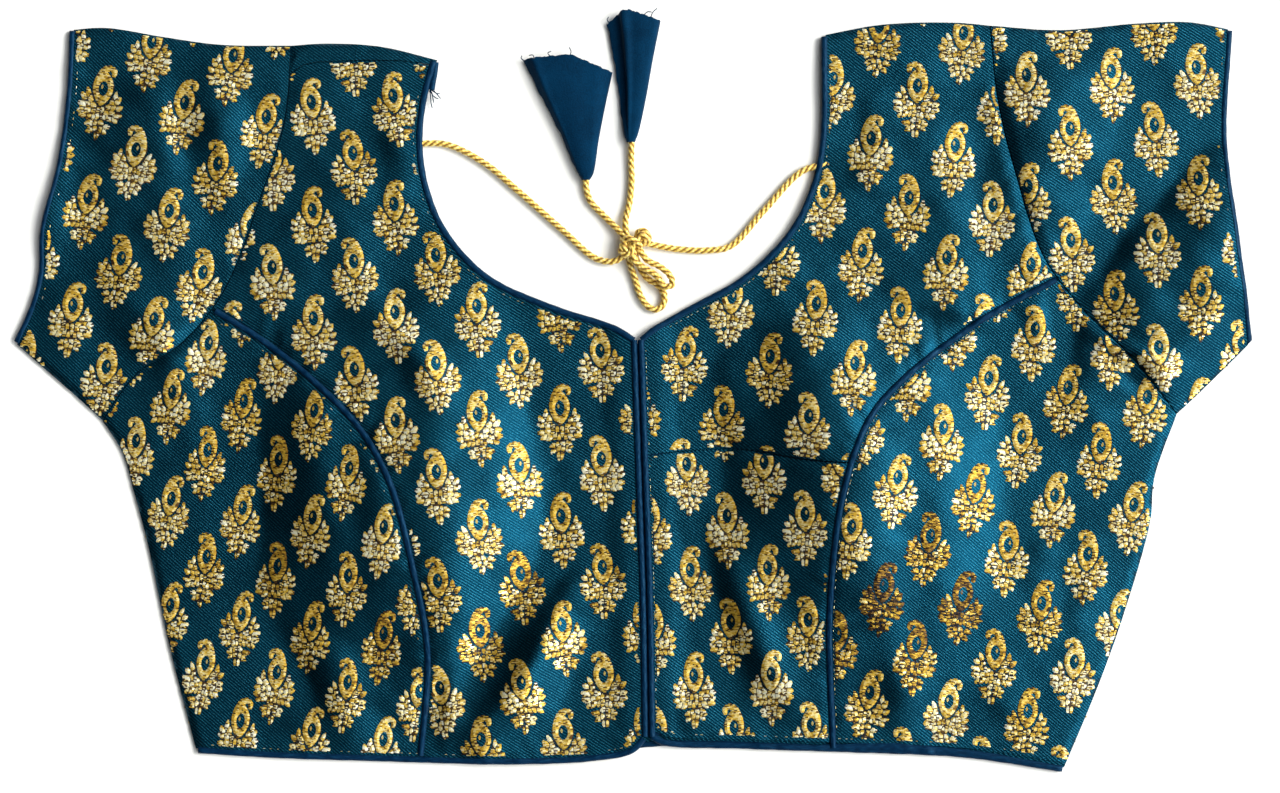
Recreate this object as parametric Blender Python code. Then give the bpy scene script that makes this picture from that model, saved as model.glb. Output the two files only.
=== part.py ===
"""A choli blouse laid flat on its back: princess-cut fronts, short sleeves, piping and a tied dori.

Left and right are as seen from above, with the neck at +Y. The tables are in millimetres from the
middle of the blouse. The back lies on the surface, and the fronts and the sleeves' upper layers lie on
it. Each panel is a slab between its own seams, and piping lies in the channel that two panels leave.
"""

import math

import bmesh
import bpy
import numpy as np
from mathutils.geometry import delaunay_2d_cdt

MM = 0.001

# Cloth and trim
CLOTH = 1.2
GAP = 0.3
PIPING_WIDTH = 2.9
PIPING_RISE = 0.7
BACK_PIPING_LIFT = 0.1
UNDERLAP_WIDTH = 20.0
UNDERLAP_THICKNESS = 1.0
MOST_LOFT = 3.5

# Cord
CORD_RADIUS = 1.5
CORD_LIFT = 0.1
CORD_STEP = 5.5
TASSEL_WALL = 1.1

# Point spacing
SEAM_STEP = 10.0
FIELD_STEP = 17.0
REACH = 6.0

# Colours as (red, green, blue), linear
TEAL = (0.006, 0.105, 0.125)
NAVY = (0.003, 0.026, 0.062)
GOLD = (0.62, 0.42, 0.10)

# Columns: x, y, along the edge from its first end to its last
EDGES = {
    "sleeve_top_left": [(-153.5, 158), (-186, 158.5), (-211.5, 162), (-237, 166), (-253.5, 165)],
    "shoulder_left": [(-88, 151.5), (-113, 157.5), (-137.5, 159), (-153.5, 158)],
    "shoulder_seam_left": [(-89, 149), (-103, 151), (-133.5, 151), (-147, 149.5), (-154.5, 145)],
    "neck_left": [(1.5, 26.5), (-7.5, 32), (-36, 41.5), (-65, 55), (-83.5, 75), (-92, 95.5),
                  (-94.5, 115.5), (-92.5, 134.5), (-88, 151.5)],
    "cuff_left": [(-278.5, 25), (-271, 41.5), (-267.5, 55), (-266.5, 75), (-259, 104.5),
                  (-254.5, 139.5), (-253.5, 165)],
    "under_left": [(-238.5, -10.5), (-251, 1), (-266.5, 14.5), (-278.5, 25)],
    "armhole_left": [(-153.5, 158), (-156.5, 124.5), (-168, 88), (-184, 47.5), (-203, 24),
                     (-223, 10.5), (-238.5, -10.5)],
    "side_left": [(-238.5, -10.5), (-229.5, -25), (-224.5, -42), (-218, -66.5), (-208.5, -111.5),
                  (-196, -160)],
    "hem_left": [(-196, -160), (-164, -162), (-119.5, -163.5), (-53, -165), (-17.5, -163.5),
                 (0, -160), (6.5, -153.5)],
    "princess_left": [(-188, 39), (-166.5, 25.5), (-144, 8), (-122, -14.5), (-108, -39.5),
                      (-98, -78), (-92, -114.5), (-95.5, -162.5)],
    "opening": [(2, 26), (4, -33), (6, -91.5), (7, -154)],
    "sleeve_top_right": [(269.5, 165), (250.5, 168.5), (227, 168), (192, 165), (160.5, 167)],
    "shoulder_right": [(160.5, 167), (146, 168.3), (112.5, 167.5), (84.5, 162.5)],
    "neck_right": [(84.5, 162.5), (84, 115.5), (80, 95.5), (70, 75), (50, 55), (25.5, 41), (8, 31),
                   (2.5, 26.5)],
    "cuff_right": [(269.5, 165), (267, 115.5), (272, 71), (278.5, 25.5)],
    "under_right": [(278.5, 25.5), (268, 15), (251.5, -1), (244.5, -7.5)],
    "armhole_right": [(244.5, -7.5), (224.5, 17), (201, 41), (184.5, 63.5), (171.5, 102), (164, 133.5),
                      (160.5, 167)],
    "side_right": [(193, -168.5), (210, -127.5), (221, -96.5), (232.5, -56), (234.5, -36),
                   (244.5, -7.5)],
    "hem_right": [(7.5, -153.5), (14, -156.5), (49, -158), (93, -159.5), (149, -162), (193, -168.5)],
    "princess_right": [(190.5, 53), (158, 35.5), (120.5, 7.5), (105, -11), (93.5, -44), (88, -97.5),
                       (90, -159)],
    "pieced_seam": [(4, -26.5), (20.5, -24.5), (48, -23.5), (78, -28), (100, -29.5)],
    "back_hem": [(-196, -160), (-164, -162), (-119.5, -163.2), (-53, -164), (-20, -162), (6, -157.5),
                 (30, -157), (93, -159.2), (149, -161.8), (193, -168.5)],
    "back_neck": [(91, 163.5), (90, 111), (83, 84), (70, 66), (52, 49), (28, 34), (2, 18), (-34, 34),
                  (-61, 44), (-81, 61), (-92, 77.5), (-98, 95.5), (-99.5, 115.5), (-97.5, 134),
                  (-94, 153)],
}

# The hem's band on the right front. Columns: distance along the hem, width
HEM_BAND = [(0, 2.9), (75, 2.9), (95, 4.4), (110, 5.2), (130, 4.0), (195, 3.4)]

# Where the upper cloth stands off the lower. Columns: x, y, long radius, short radius, angle, height
MOUNDS = [
    (-118, -10, 75, 42, 62, 3.0),
    (108, 0, 78, 42, -60, 3.2),
    (-40, -95, 45, 26, 70, 1.4),
    (55, -100, 50, 24, 110, 1.2),
    (165, -75, 70, 22, 72, 1.4),
    (-165, -70, 60, 22, 112, 1.3),
    (-205, 90, 42, 26, 80, 1.8),
    (222, 92, 44, 28, 96, 1.8),
    (-120, 100, 38, 22, 90, 1.0),
    (125, 105, 40, 22, 90, 1.0),
    (-172, -48, 36, 13, 118, 1.2),
    (178, 28, 26, 13, 55, 1.4),
    (-88, -135, 30, 13, 95, 1.0),
    (-94, 116, 22, 18, 0, 3.0),
    (86, 106, 22, 18, 0, 3.2),
]

# The cord's stretches, as the centre of each. Columns: x, y, z
CORDS = {
    "dori_left": [(-97.2, 114, 1.5), (-83.5, 113.5, 1.5), (-66.5, 105, 1.5), (-52, 93, 1.5),
                  (-31, 74.5, 1.5), (-17, 62.5, 1.6), (-9, 61, 2.6), (-3, 64, 3.5)],
    "dori_right": [(88, 105, 1.5), (76, 101.5, 1.5), (59, 84, 1.5), (44, 68, 1.5), (34, 66, 1.5),
                   (20.5, 66.5, 1.6), (9, 68.5, 2.6), (0, 69.5, 3.5)],
    "tail_left": [(-2, 70, 4), (-6, 74.5, 3.2), (-12.5, 81, 1.6), (-19, 88, 1.5), (-21, 94, 1.6),
                  (-21, 98.2, 2.2)],
    "tail_right": [(-2, 72, 4), (-3.4, 79, 2.6), (-1.6, 87, 1.6), (-0.6, 97, 1.5), (-0.8, 106.5, 1.6),
                   (-0.5, 115.2, 2.2)],
    "bow_loop_long": [(-2.4, 68, 3), (-1.6, 61, 2.2), (1, 53, 1.6), (3.4, 45.5, 1.5), (7, 40.6, 1.5),
                      (10.5, 39.4, 1.5), (13.6, 41.6, 1.5), (14, 46.5, 1.5), (11, 50.6, 1.5),
                      (7, 53, 1.6), (3.6, 57.4, 2.2), (1.4, 63, 3), (1.4, 68, 3)],
    "bow_loop_short": [(2, 66, 6), (6.4, 61.5, 5.6), (12, 58.6, 5.2), (16.6, 54.6, 5), (17.6, 50.6, 5),
                       (14.4, 49.6, 5), (10.4, 54.6, 5.2), (5.6, 57.6, 5.6), (0.6, 61.5, 6),
                       (0, 66, 6)],
}
KNOT_CENTRE = (-0.4, 69, 4.4)
KNOT_RADII = (7.2, 6.8, 4.3)
KNOT_CLEARANCE = 0.6

# Each tassel is a cone pressed flat. Columns: x, y; its sides run from the tip to the mouth
TASSELS = {
    "tassel_left": {"near": [(-24.2, 98.8), (-32.5, 118), (-41, 136), (-48.5, 150.5)],
                    "far": [(-18.2, 98.8), (-15.5, 114), (-12, 132), (-9, 146)],
                    "mouth": [(-48.5, 150.5), (-27, 153.5), (-9, 146)]},
    "tassel_right": {"near": [(-3.1, 115.8), (-6.5, 139), (-9.5, 158), (-11, 168.5)],
                     "far": [(2.2, 115.8), (5.5, 131), (9, 152), (12, 169)],
                     "mouth": [(-11, 168.5), (-3.5, 173.5), (3, 173), (12, 169)]},
}


def lengths_along(curve):
    """The distance of each point from the curve's first one."""
    return np.concatenate([[0], np.cumsum(np.linalg.norm(np.diff(curve, axis=0), axis=1))])


def smooth_curve(points, step):
    """A smooth curve through the points, with a point about every step."""
    rows = np.array(points, float)
    if len(rows) == 2:
        rows = np.array([rows[0], (rows[0] + rows[1]) / 2, rows[1]])
    spans = np.sqrt(np.linalg.norm(np.diff(rows, axis=0), axis=1))
    knots = np.concatenate([[0], np.cumsum(spans)])
    slopes = np.gradient(rows, knots, axis=0)
    curve = [rows[0]]
    for i, span in enumerate(spans):
        count = max(2, round(np.linalg.norm(rows[i + 1] - rows[i]) / step) + 1)
        for t in np.linspace(0, 1, count + 1)[1:]:
            start = (2 * t**3 - 3 * t**2 + 1) * rows[i] + (t**3 - 2 * t**2 + t) * span * slopes[i]
            finish = (3 * t**2 - 2 * t**3) * rows[i + 1] + (t**3 - t**2) * span * slopes[i + 1]
            curve.append(start + finish)
    return respace(np.array(curve), step)


def respace(curve, step):
    """The same curve with evenly spaced points, its two ends kept."""
    along = lengths_along(curve)
    count = max(2, round(along[-1] / step))
    places = np.linspace(0, along[-1], count + 1)
    return np.column_stack([np.interp(places, along, column) for column in curve.T])


def edge(name, step=SEAM_STEP, backwards=False):
    curve = smooth_curve(EDGES[name], step)
    return curve[::-1] if backwards else curve


def normals_of(curve):
    """The unit normal to the left of each point of a plan curve."""
    along = np.gradient(curve, axis=0)
    along /= np.linalg.norm(along, axis=1)[:, None]
    return np.column_stack([-along[:, 1], along[:, 0]])


def moved(curve, inset):
    """The curve moved to its left, and run on straight past both ends so that it meets its neighbours."""
    curve = curve + normals_of(curve) * inset
    first = curve[0] - (curve[1] - curve[0]) / np.linalg.norm(curve[1] - curve[0]) * REACH
    last = curve[-1] + (curve[-1] - curve[-2]) / np.linalg.norm(curve[-1] - curve[-2]) * REACH
    return np.vstack([first, curve, last])


def meeting(first, second):
    """Where the last crossing of two curves lies: (place on the first, place on the second, point)."""
    found = None
    for i in range(len(first) - 1, 0, -1):
        for j in range(1, len(second)):
            a, b = first[i - 1], first[i] - first[i - 1]
            c, d = second[j - 1], second[j] - second[j - 1]
            across = b[0] * d[1] - b[1] * d[0]
            if abs(across) < 1e-9:
                continue
            s = ((c - a)[0] * d[1] - (c - a)[1] * d[0]) / across
            t = ((c - a)[0] * b[1] - (c - a)[1] * b[0]) / across
            if 0 <= s <= 1 and 0 <= t <= 1:
                found = (i - 1 + s, j - 1 + t, a + s * b)
                return found
    raise ValueError("two neighbouring edges don't meet")


def outline(sides):
    """The closed outline of a panel. Columns of sides: edge, inset, backwards; anticlockwise."""
    curves = [moved(edge(name, backwards=backwards), inset) for name, inset, backwards in sides]
    corners = [meeting(curves[i - 1], curves[i]) for i in range(len(curves))]
    points = []
    for i, curve in enumerate(curves):
        start, point = corners[i][1], corners[i][2]
        end = corners[(i + 1) % len(curves)][0]
        inside = [curve[k] for k in range(len(curve)) if start + 0.25 < k < end - 0.25]
        points += [point] + inside
    return np.array(points)


def loft(x, y):
    """How far the upper cloth stands off the lower one at a place, beyond the gap between them."""
    total = 0.0
    for mound_x, mound_y, long_radius, short_radius, angle, height in MOUNDS:
        turn = math.radians(angle)
        u = (x - mound_x) * math.cos(turn) + (y - mound_y) * math.sin(turn)
        v = (y - mound_y) * math.cos(turn) - (x - mound_x) * math.sin(turn)
        total += height * math.exp(-((u / long_radius) ** 2) - (v / short_radius) ** 2)
    raised = MOST_LOFT * (1 - math.exp(-total / MOST_LOFT))
    middle = float(np.interp(y, [-154, 26], [7, 2]))
    near = min(1, max(0, (UNDERLAP_WIDTH * 1.3 - abs(x - middle)) / (UNDERLAP_WIDTH * 0.7)))
    over_strip = UNDERLAP_THICKNESS + GAP + 0.1
    return max(raised, over_strip * near * near * (3 - 2 * near) if y < 60 else raised)


def front_floor(x, y):
    """The underside of the upper cloth."""
    return CLOTH + GAP + loft(x, y)


def on_surface(_x, _y):
    return 0.0


def back_floor(_x, _y):
    """The underside of the back's own pipings."""
    return BACK_PIPING_LIFT


def material(name, colour, roughness, metallic=0.0):
    made = bpy.data.materials.get(name) or bpy.data.materials.new(name)
    made.use_nodes = True
    shader = made.node_tree.nodes["Principled BSDF"]
    shader.inputs["Base Color"].default_value = (*colour, 1)
    shader.inputs["Roughness"].default_value = roughness
    shader.inputs["Metallic"].default_value = metallic
    made.diffuse_color = (*colour, 1)
    return made


def brocade():
    return material("brocade", TEAL, 0.5)


def satin():
    return material("navy_satin", NAVY, 0.45)


def gold_cord():
    return material("gold_cord", GOLD, 0.45, 0.3)


def add_mesh(name, points, faces, finish):
    """An object from points in millimetres, with its faces turned outwards."""
    mesh = bpy.data.meshes.new(name)
    mesh.from_pydata([tuple(float(c) * MM for c in p) for p in points], [], faces)
    shape = bmesh.new()
    shape.from_mesh(mesh)
    bmesh.ops.recalc_face_normals(shape, faces=shape.faces)
    shape.to_mesh(mesh)
    shape.free()
    mesh.materials.append(finish)
    made = bpy.data.objects.new(name, mesh)
    bpy.context.scene.collection.objects.link(made)
    return made


def is_inside(point, loop):
    x, y = point
    ahead = np.roll(loop, -1, axis=0)
    crosses = (loop[:, 1] > y) != (ahead[:, 1] > y)
    with np.errstate(divide="ignore", invalid="ignore"):
        at = loop[:, 0] + (y - loop[:, 1]) * (ahead[:, 0] - loop[:, 0]) / (ahead[:, 1] - loop[:, 1])
    return bool(np.count_nonzero(crosses & (x < at)) % 2)


def field_points(loop):
    """Points on a triangular grid inside the outline and clear of it."""
    low, high = loop.min(axis=0), loop.max(axis=0)
    rise = FIELD_STEP * math.sqrt(3) / 2
    found = []
    for row in range(int((high[1] - low[1]) / rise) + 1):
        y = low[1] + (row + 0.5) * rise
        shift = FIELD_STEP / 2 * (row % 2)
        for column in range(int((high[0] - low[0]) / FIELD_STEP) + 1):
            point = np.array([low[0] + shift + column * FIELD_STEP, y])
            clear = np.linalg.norm(loop - point, axis=1).min() > FIELD_STEP * 0.55
            if clear and is_inside(point, loop):
                found.append(point)
    return found


def panel(name, sides, floor, thickness=CLOTH, finish=None):
    """A slab of cloth between its seams, its underside at the height that floor gives."""
    loop = outline(sides)
    count = len(loop)
    plan = [tuple(p) for p in loop] + [tuple(p) for p in field_points(loop)]
    border = [(i, (i + 1) % count) for i in range(count)]
    spots, _, triangles, _, _, _ = delaunay_2d_cdt(plan, border, [], 1, 1e-6)
    low = [(p[0], p[1], floor(p[0], p[1])) for p in spots]
    high = [(x, y, z + thickness) for x, y, z in low]
    size = len(spots)
    faces = [tuple(reversed(t)) for t in triangles] + [tuple(i + size for i in t) for t in triangles]
    faces += [(i, (i + 1) % count, (i + 1) % count + size, i + size) for i in range(count)]
    return add_mesh(name, low + high, faces, finish or brocade())


def swept(name, strip, section, finish):
    """A strip along a trimmed curve. section gives (sideways, height) rows at a place and distance."""
    curve, sideways = strip
    along = lengths_along(curve)
    points, faces = [], []
    for place, side, distance in zip(curve, sideways, along):
        for across, height in section(place, distance):
            points.append((*(place + side * across), height))
    width = len(points) // len(curve)
    for i in range(len(curve) - 1):
        for j in range(width):
            k = (j + 1) % width
            faces.append((i * width + j, i * width + k, (i + 1) * width + k, (i + 1) * width + j))
    faces.append(tuple(range(width)))
    faces.append(tuple(range((len(curve) - 1) * width, len(curve) * width)))
    return add_mesh(name, points, faces, finish)


def round_section(inner, outer, low, high):
    """A strip's rounded section between two sideways places and two heights."""
    bevel = min(0.28 * (outer - inner), 0.45 * (high - low))
    return [(inner, low), (outer, low), (outer, high - bevel), (outer - bevel, high),
            (inner + bevel, high), (inner, high - bevel)]


def trimmed(curve, start, end):
    """The curve with a length taken off each end, and its normals, which stay those of the whole."""
    along = lengths_along(curve)
    places = np.concatenate([[start], along[(along > start + 2) & (along < along[-1] - end - 2)],
                             [along[-1] - end]])
    rows = np.column_stack([curve, normals_of(curve)])
    kept = np.column_stack([np.interp(places, along, column) for column in rows.T])
    return kept[:, :2], kept[:, 2:]


def piping(name, seam, inner, outer, floor, height, start=0.0, end=0.0, backwards=False):
    """A satin piping along a seam, between two places to the left of it, on the floor's height."""
    strip = trimmed(edge(seam, backwards=backwards), start, end)

    def section(place, _distance):
        low = floor(*place)
        return round_section(inner, outer, low, low + height)

    return swept(name, strip, section, satin())


def hem_band():
    """The right front's hem, whose binding is rolled on to the front as a band of uneven width."""
    strip = trimmed(edge("hem_right"), 0.5, 0.5)
    places, widths = zip(*HEM_BAND)

    def section(place, distance):
        low = front_floor(*place)
        return round_section(0, float(np.interp(distance, places, widths)), low,
                             low + CLOTH + PIPING_RISE)

    return swept("piping_hem_right", strip, section, satin())


def shares_of(curve):
    """How far along the curve each of its points lies, from 0 to 1."""
    along = lengths_along(curve)
    return along / along[-1]


def at(curve, share):
    """The place on the curve at a share of its length."""
    return np.array([np.interp(share, shares_of(curve), column) for column in curve.T])


def flat_tube(name, first, last, near, far, shares, top, wall, finish, stations, low=0.0):
    """A tube of cloth pressed flat between four plan edges, open at both ends.

    first and last run from near to far at the two open ends, with points at the shares of their
    length. near and far run from first to last. top gives the height of the upper layer's outer
    face, stations the places along the tube and low the height of its underside.
    """

    def place(u, v):
        """Coons patch between the four edges."""
        ends = (1 - u) * at(first, v) + u * at(last, v)
        sides = (1 - v) * at(near, u) + v * at(far, u)
        corners = ((1 - u) * (1 - v) * first[0] + (1 - u) * v * first[-1]
                   + u * (1 - v) * last[0] + u * v * last[-1])
        return ends + sides - corners

    outer, inner = [], []
    for u in stations:
        line = [place(u, v) for v in shares]
        heights = [top(*spot, u) for spot in line]
        across = (line[-1] - line[0]) / np.linalg.norm(line[-1] - line[0])
        start, finish_at = heights[0] / 2, heights[-1] / 2
        ring = [(*line[0], start)]
        ring += [(*spot, low) for spot in line[1:-1]]
        ring += [(*line[-1], finish_at)]
        ring += [(*spot, height) for spot, height in zip(line[-2:0:-1], heights[-2:0:-1])]
        hollow = [(*(line[0] + across * wall), start)]
        hollow += [(*spot, low + wall) for spot in line[1:-1]]
        hollow += [(*(line[-1] - across * wall), finish_at)]
        hollow += [(*spot, height - wall) for spot, height in zip(line[-2:0:-1], heights[-2:0:-1])]
        outer.append(ring)
        inner.append(hollow)
    width = len(outer[0])
    count = len(stations)
    points = [p for ring in outer for p in ring] + [p for ring in inner for p in ring]
    faces = []
    for layer in range(2):
        base = layer * width * count
        for i in range(count - 1):
            for j in range(width):
                k = (j + 1) % width
                a = base + i * width
                faces.append((a + j, a + k, a + width + k, a + width + j))
    for i in (0, count - 1):
        for j in range(width):
            k = (j + 1) % width
            a, b = i * width, (count + i) * width
            faces.append((a + j, a + k, b + k, b + j))
    return add_mesh(name, points, faces, finish)


def upper_top(x, y, _u=0.0):
    """The upper face of the upper cloth."""
    return front_floor(x, y) + CLOTH


def sleeve(side):
    """A short sleeve folded flat, its fold on top, with the piping round its cuff."""
    left = side == "left"
    seam = edge(f"armhole_{side}", backwards=left)
    cuff = edge(f"cuff_{side}", backwards=not left)
    under = edge(f"under_{side}", backwards=not left)
    fold = edge(f"sleeve_top_{side}", backwards=not left)
    outwards = 1 if left else -1
    seam = seam + normals_of(seam) * outwards * GAP / 2
    cut = cuff + normals_of(cuff) * -outwards * (PIPING_WIDTH + GAP)
    bound = cuff + normals_of(cuff) * -outwards * PIPING_WIDTH

    def joined(curve, start, end):
        return np.vstack([start, curve[1:-1], end])

    def section_ends(first, last):
        return joined(under, first[0], last[0]), joined(fold, first[-1], last[-1])

    near, far = section_ends(seam, cut)
    shares = shares_of(seam)
    flat_tube(f"sleeve_{side}", seam, cut, near, far, shares, upper_top, CLOTH, brocade(),
              np.linspace(0, 1, 7))
    near = np.array([bound[0], cuff[0]])
    far = np.array([bound[-1], cuff[-1]])

    def bulged(x, y, u):
        return upper_top(x, y) + 0.1 + 0.5 * math.sin(math.pi * u)

    flat_tube(f"piping_cuff_{side}", bound, cuff, near, far, shares, bulged, CLOTH, satin(),
              [0, 0.5, 1], BACK_PIPING_LIFT)


def back():
    """The whole back. Over the left shoulder it turns on to the front, up to the shoulder seam."""
    hem = PIPING_WIDTH + GAP
    sides = [("side_left", 0, False), ("back_hem", hem, False), ("side_right", 0, False),
             ("armhole_right", GAP / 2, False), ("shoulder_right", 0, False),
             ("back_neck", hem, False), ("shoulder_left", CLOTH / 2, False),
             ("armhole_left", GAP / 2, False)]
    body = panel("back", sides, on_surface)
    fold = trimmed(edge("shoulder_left"), 4, 2.0)
    seam = edge("shoulder_seam_left", 1.0)

    def turned(place, _distance):
        """A C-shaped section: under, up the fold, and over the front to the seam."""
        reach = np.linalg.norm(seam - place, axis=1).min() - GAP
        top = upper_top(*place)
        return [(8, 0.15), (0, 0.15), (0, top), (reach, top), (reach, top - CLOTH),
                (CLOTH, top - CLOTH), (CLOTH, CLOTH - 0.15), (8, CLOTH - 0.15)]

    wrap = swept("shoulder_turn", fold, turned, brocade())
    wrap.hide_render = True
    wrap.display_type = "WIRE"
    union = body.modifiers.new("turned_over", "BOOLEAN")
    union.operation = "UNION"
    union.object = wrap


def fronts():
    seam, joint = GAP / 2, PIPING_WIDTH / 2 + GAP
    bound = PIPING_WIDTH + GAP
    opening = PIPING_WIDTH + GAP * 1.5
    panel("front_side_left",
          [("side_left", 0, False), ("hem_left", bound, False), ("princess_left", joint, True),
           ("armhole_left", seam, False)], front_floor)
    panel("front_centre_left",
          [("princess_left", joint, False), ("hem_left", bound, False), ("opening", opening, True),
           ("neck_left", bound, False), ("shoulder_seam_left", seam, False),
           ("armhole_left", seam, False)], front_floor)
    panel("front_centre_right_upper",
          [("opening", opening, False), ("pieced_seam", seam, False), ("princess_right", joint, True),
           ("armhole_right", seam, False), ("shoulder_right", 0, False),
           ("neck_right", bound, False)], front_floor)
    panel("front_centre_right_lower",
          [("opening", opening, False), ("hem_right", 5.2 + GAP, False),
           ("princess_right", joint, True), ("pieced_seam", seam, True)], front_floor)
    panel("front_side_right",
          [("princess_right", joint, False), ("hem_right", 5.2 + GAP, False),
           ("side_right", 0, False), ("armhole_right", seam, False)], front_floor)


def underlap():
    """The strip that carries the hooks, between the back and the two opening edges."""
    strip = trimmed(edge("opening"), 4, 4)
    low = CLOTH + GAP
    half = UNDERLAP_WIDTH / 2

    def section(_place, _distance):
        return [(-half, low), (half, low), (half, low + UNDERLAP_THICKNESS),
                (-half, low + UNDERLAP_THICKNESS)]

    swept("underlap", strip, section, satin())


def pipings():
    width, half, height = PIPING_WIDTH, PIPING_WIDTH / 2, CLOTH + PIPING_RISE
    for side in ("left", "right"):
        piping(f"piping_princess_{side}", f"princess_{side}", -half, half, front_floor, height, 2.2,
               width + 0.8)
    piping("piping_neck_left", "neck_left", 0, width, front_floor, height, width + 1, 4)
    piping("piping_neck_right", "neck_right", 0, width, front_floor, height, 0.5, width + 1)
    piping("piping_opening_left", "opening", GAP / 2, GAP / 2 + width, front_floor, height, 4, 1,
           backwards=True)
    piping("piping_opening_right", "opening", GAP / 2, GAP / 2 + width, front_floor, height, 1, 4)
    piping("piping_hem_left", "hem_left", 0, width, front_floor, height, 0.5, 1)
    hem_band()
    piping("piping_neck_back", "back_neck", 0, width, back_floor, CLOTH, 1, 13)
    piping("piping_hem_back", "back_hem", 0, width, back_floor, CLOTH, 0.5, 0.5)


def cords():
    for name, route in CORDS.items():
        curve = clear_of_knot(smooth_curve(route, CORD_STEP))
        spline_data = bpy.data.curves.new(name, "CURVE")
        spline_data.dimensions = "3D"
        spline_data.bevel_depth = CORD_RADIUS * MM
        spline_data.bevel_resolution = 2
        spline_data.use_fill_caps = True
        spline = spline_data.splines.new("POLY")
        spline.points.add(len(curve) - 1)
        for point, place in zip(spline.points, curve):
            x, y, z = place
            point.co = (x * MM, y * MM, max(z, CORD_RADIUS + CORD_LIFT) * MM, 1)
        spline_data.materials.append(gold_cord())
        made = bpy.data.objects.new(name, spline_data)
        bpy.context.scene.collection.objects.link(made)


def clear_of_knot(curve):
    """The part of a cord outside the knot, which it meets with a small gap."""
    dense = respace(curve, 0.2)
    reach = (dense - np.array(KNOT_CENTRE)) / (np.array(KNOT_RADII) + GAP + KNOT_CLEARANCE)
    return respace(dense[np.linalg.norm(reach, axis=1) >= 1], CORD_STEP)


def knot():
    bpy.ops.mesh.primitive_uv_sphere_add(segments=16, ring_count=10, radius=1)
    made = bpy.context.object
    made.name = "dori_knot"
    made.data.name = "dori_knot"
    made.scale = [r * MM for r in KNOT_RADII]
    made.location = [c * MM for c in KNOT_CENTRE]
    made.data.materials.append(gold_cord())


def tassels():
    for name, sides in TASSELS.items():
        near, far, mouth = (smooth_curve(sides[part], SEAM_STEP) for part in ("near", "far", "mouth"))
        tip = np.array([near[0], far[0]])

        def top(_x, _y, u):
            return 4.4 + 1.4 * u

        flat_tube(name, tip, mouth, near, far, np.linspace(0, 1, 7), top, TASSEL_WALL, satin(),
                  np.linspace(0, 1, 7))


def main():
    for old in list(bpy.data.objects):
        bpy.data.objects.remove(old, do_unlink=True)
    bpy.context.scene.unit_settings.system = "METRIC"
    back()
    fronts()
    for side in ("left", "right"):
        sleeve(side)
    underlap()
    pipings()
    cords()
    knot()
    tassels()


main()
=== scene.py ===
# %% [markdown]
# # A choli blouse, laid flat
# A blouse of peacock satin brocade, bound with navy satin and tied at the back neck with a gold cord,
# lies on its back on a pale sheet. All sizes are in millimetres until a mesh is made.

import math

import bpy
import numpy as np
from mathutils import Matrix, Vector
from mathutils.geometry import delaunay_2d_cdt


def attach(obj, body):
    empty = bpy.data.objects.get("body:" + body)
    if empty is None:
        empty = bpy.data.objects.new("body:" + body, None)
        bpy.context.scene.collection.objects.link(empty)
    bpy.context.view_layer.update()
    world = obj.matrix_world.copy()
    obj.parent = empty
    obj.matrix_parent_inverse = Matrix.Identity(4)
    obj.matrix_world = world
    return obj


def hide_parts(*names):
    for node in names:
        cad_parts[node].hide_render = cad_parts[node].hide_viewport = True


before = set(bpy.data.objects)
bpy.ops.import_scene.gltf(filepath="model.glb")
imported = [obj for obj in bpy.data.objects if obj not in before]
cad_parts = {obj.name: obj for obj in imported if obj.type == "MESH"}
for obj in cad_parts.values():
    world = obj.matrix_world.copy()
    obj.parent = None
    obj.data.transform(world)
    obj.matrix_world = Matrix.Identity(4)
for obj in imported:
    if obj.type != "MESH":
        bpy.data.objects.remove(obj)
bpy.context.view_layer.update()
MM = 0.001
dice = np.random.default_rng(11)

# %% [markdown]
# ## The camera and the sheet beneath
# A long lens far above keeps the outlines true. The picture is 1280 pixels of 0.45 mm wide.

# %% Camera straight above the middle of the photograph
PHOTO_WIDTH = 576.0
LENS = 100.0
SENSOR = 36.0
CAMERA_SPOT = (3.15, 0.3)
camera_data = bpy.data.cameras.new("camera_above")
camera_data.lens = LENS
camera_data.sensor_width = SENSOR
camera_data.clip_end = 20
camera = bpy.data.objects.new("camera_above", camera_data)
camera.location = (CAMERA_SPOT[0] * MM, CAMERA_SPOT[1] * MM, PHOTO_WIDTH * LENS / SENSOR * MM)
bpy.context.scene.collection.objects.link(camera)
bpy.context.scene.camera = camera
print("camera height, m:", round(camera.location.z, 3))


# %% Helpers for materials: each gives the socket that the next one needs
def add_node(tree, kind, inputs=None, **settings):
    """A node with its settings, whose inputs are values or other nodes' sockets."""
    node = tree.nodes.new(kind)
    for name, value in settings.items():
        setattr(node, name, value)
    for name, value in (inputs or {}).items():
        if isinstance(value, bpy.types.NodeSocket):
            tree.links.new(value, node.inputs[name])
        else:
            node.inputs[name].default_value = value
    return node


def new_finish(name, sockets):
    """(material, its tree), with one shader whose sockets hold the given values."""
    finish = bpy.data.materials.new(name)
    finish.use_nodes = True
    tree = finish.node_tree
    tree.nodes.clear()
    shader = add_node(tree, "ShaderNodeBsdfPrincipled", sockets)
    add_node(tree, "ShaderNodeOutputMaterial", {"Surface": shader.outputs["BSDF"]})
    return finish, tree


def dress(tree, colour, height, strength, distance):
    """Give the shader a colour and a bump."""
    shader = tree.nodes["Principled BSDF"]
    bump = add_node(tree, "ShaderNodeBump", {"Height": height, "Strength": strength, "Distance": distance})
    tree.links.new(colour, shader.inputs["Base Color"])
    tree.links.new(bump.outputs["Normal"], shader.inputs["Normal"])


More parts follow.
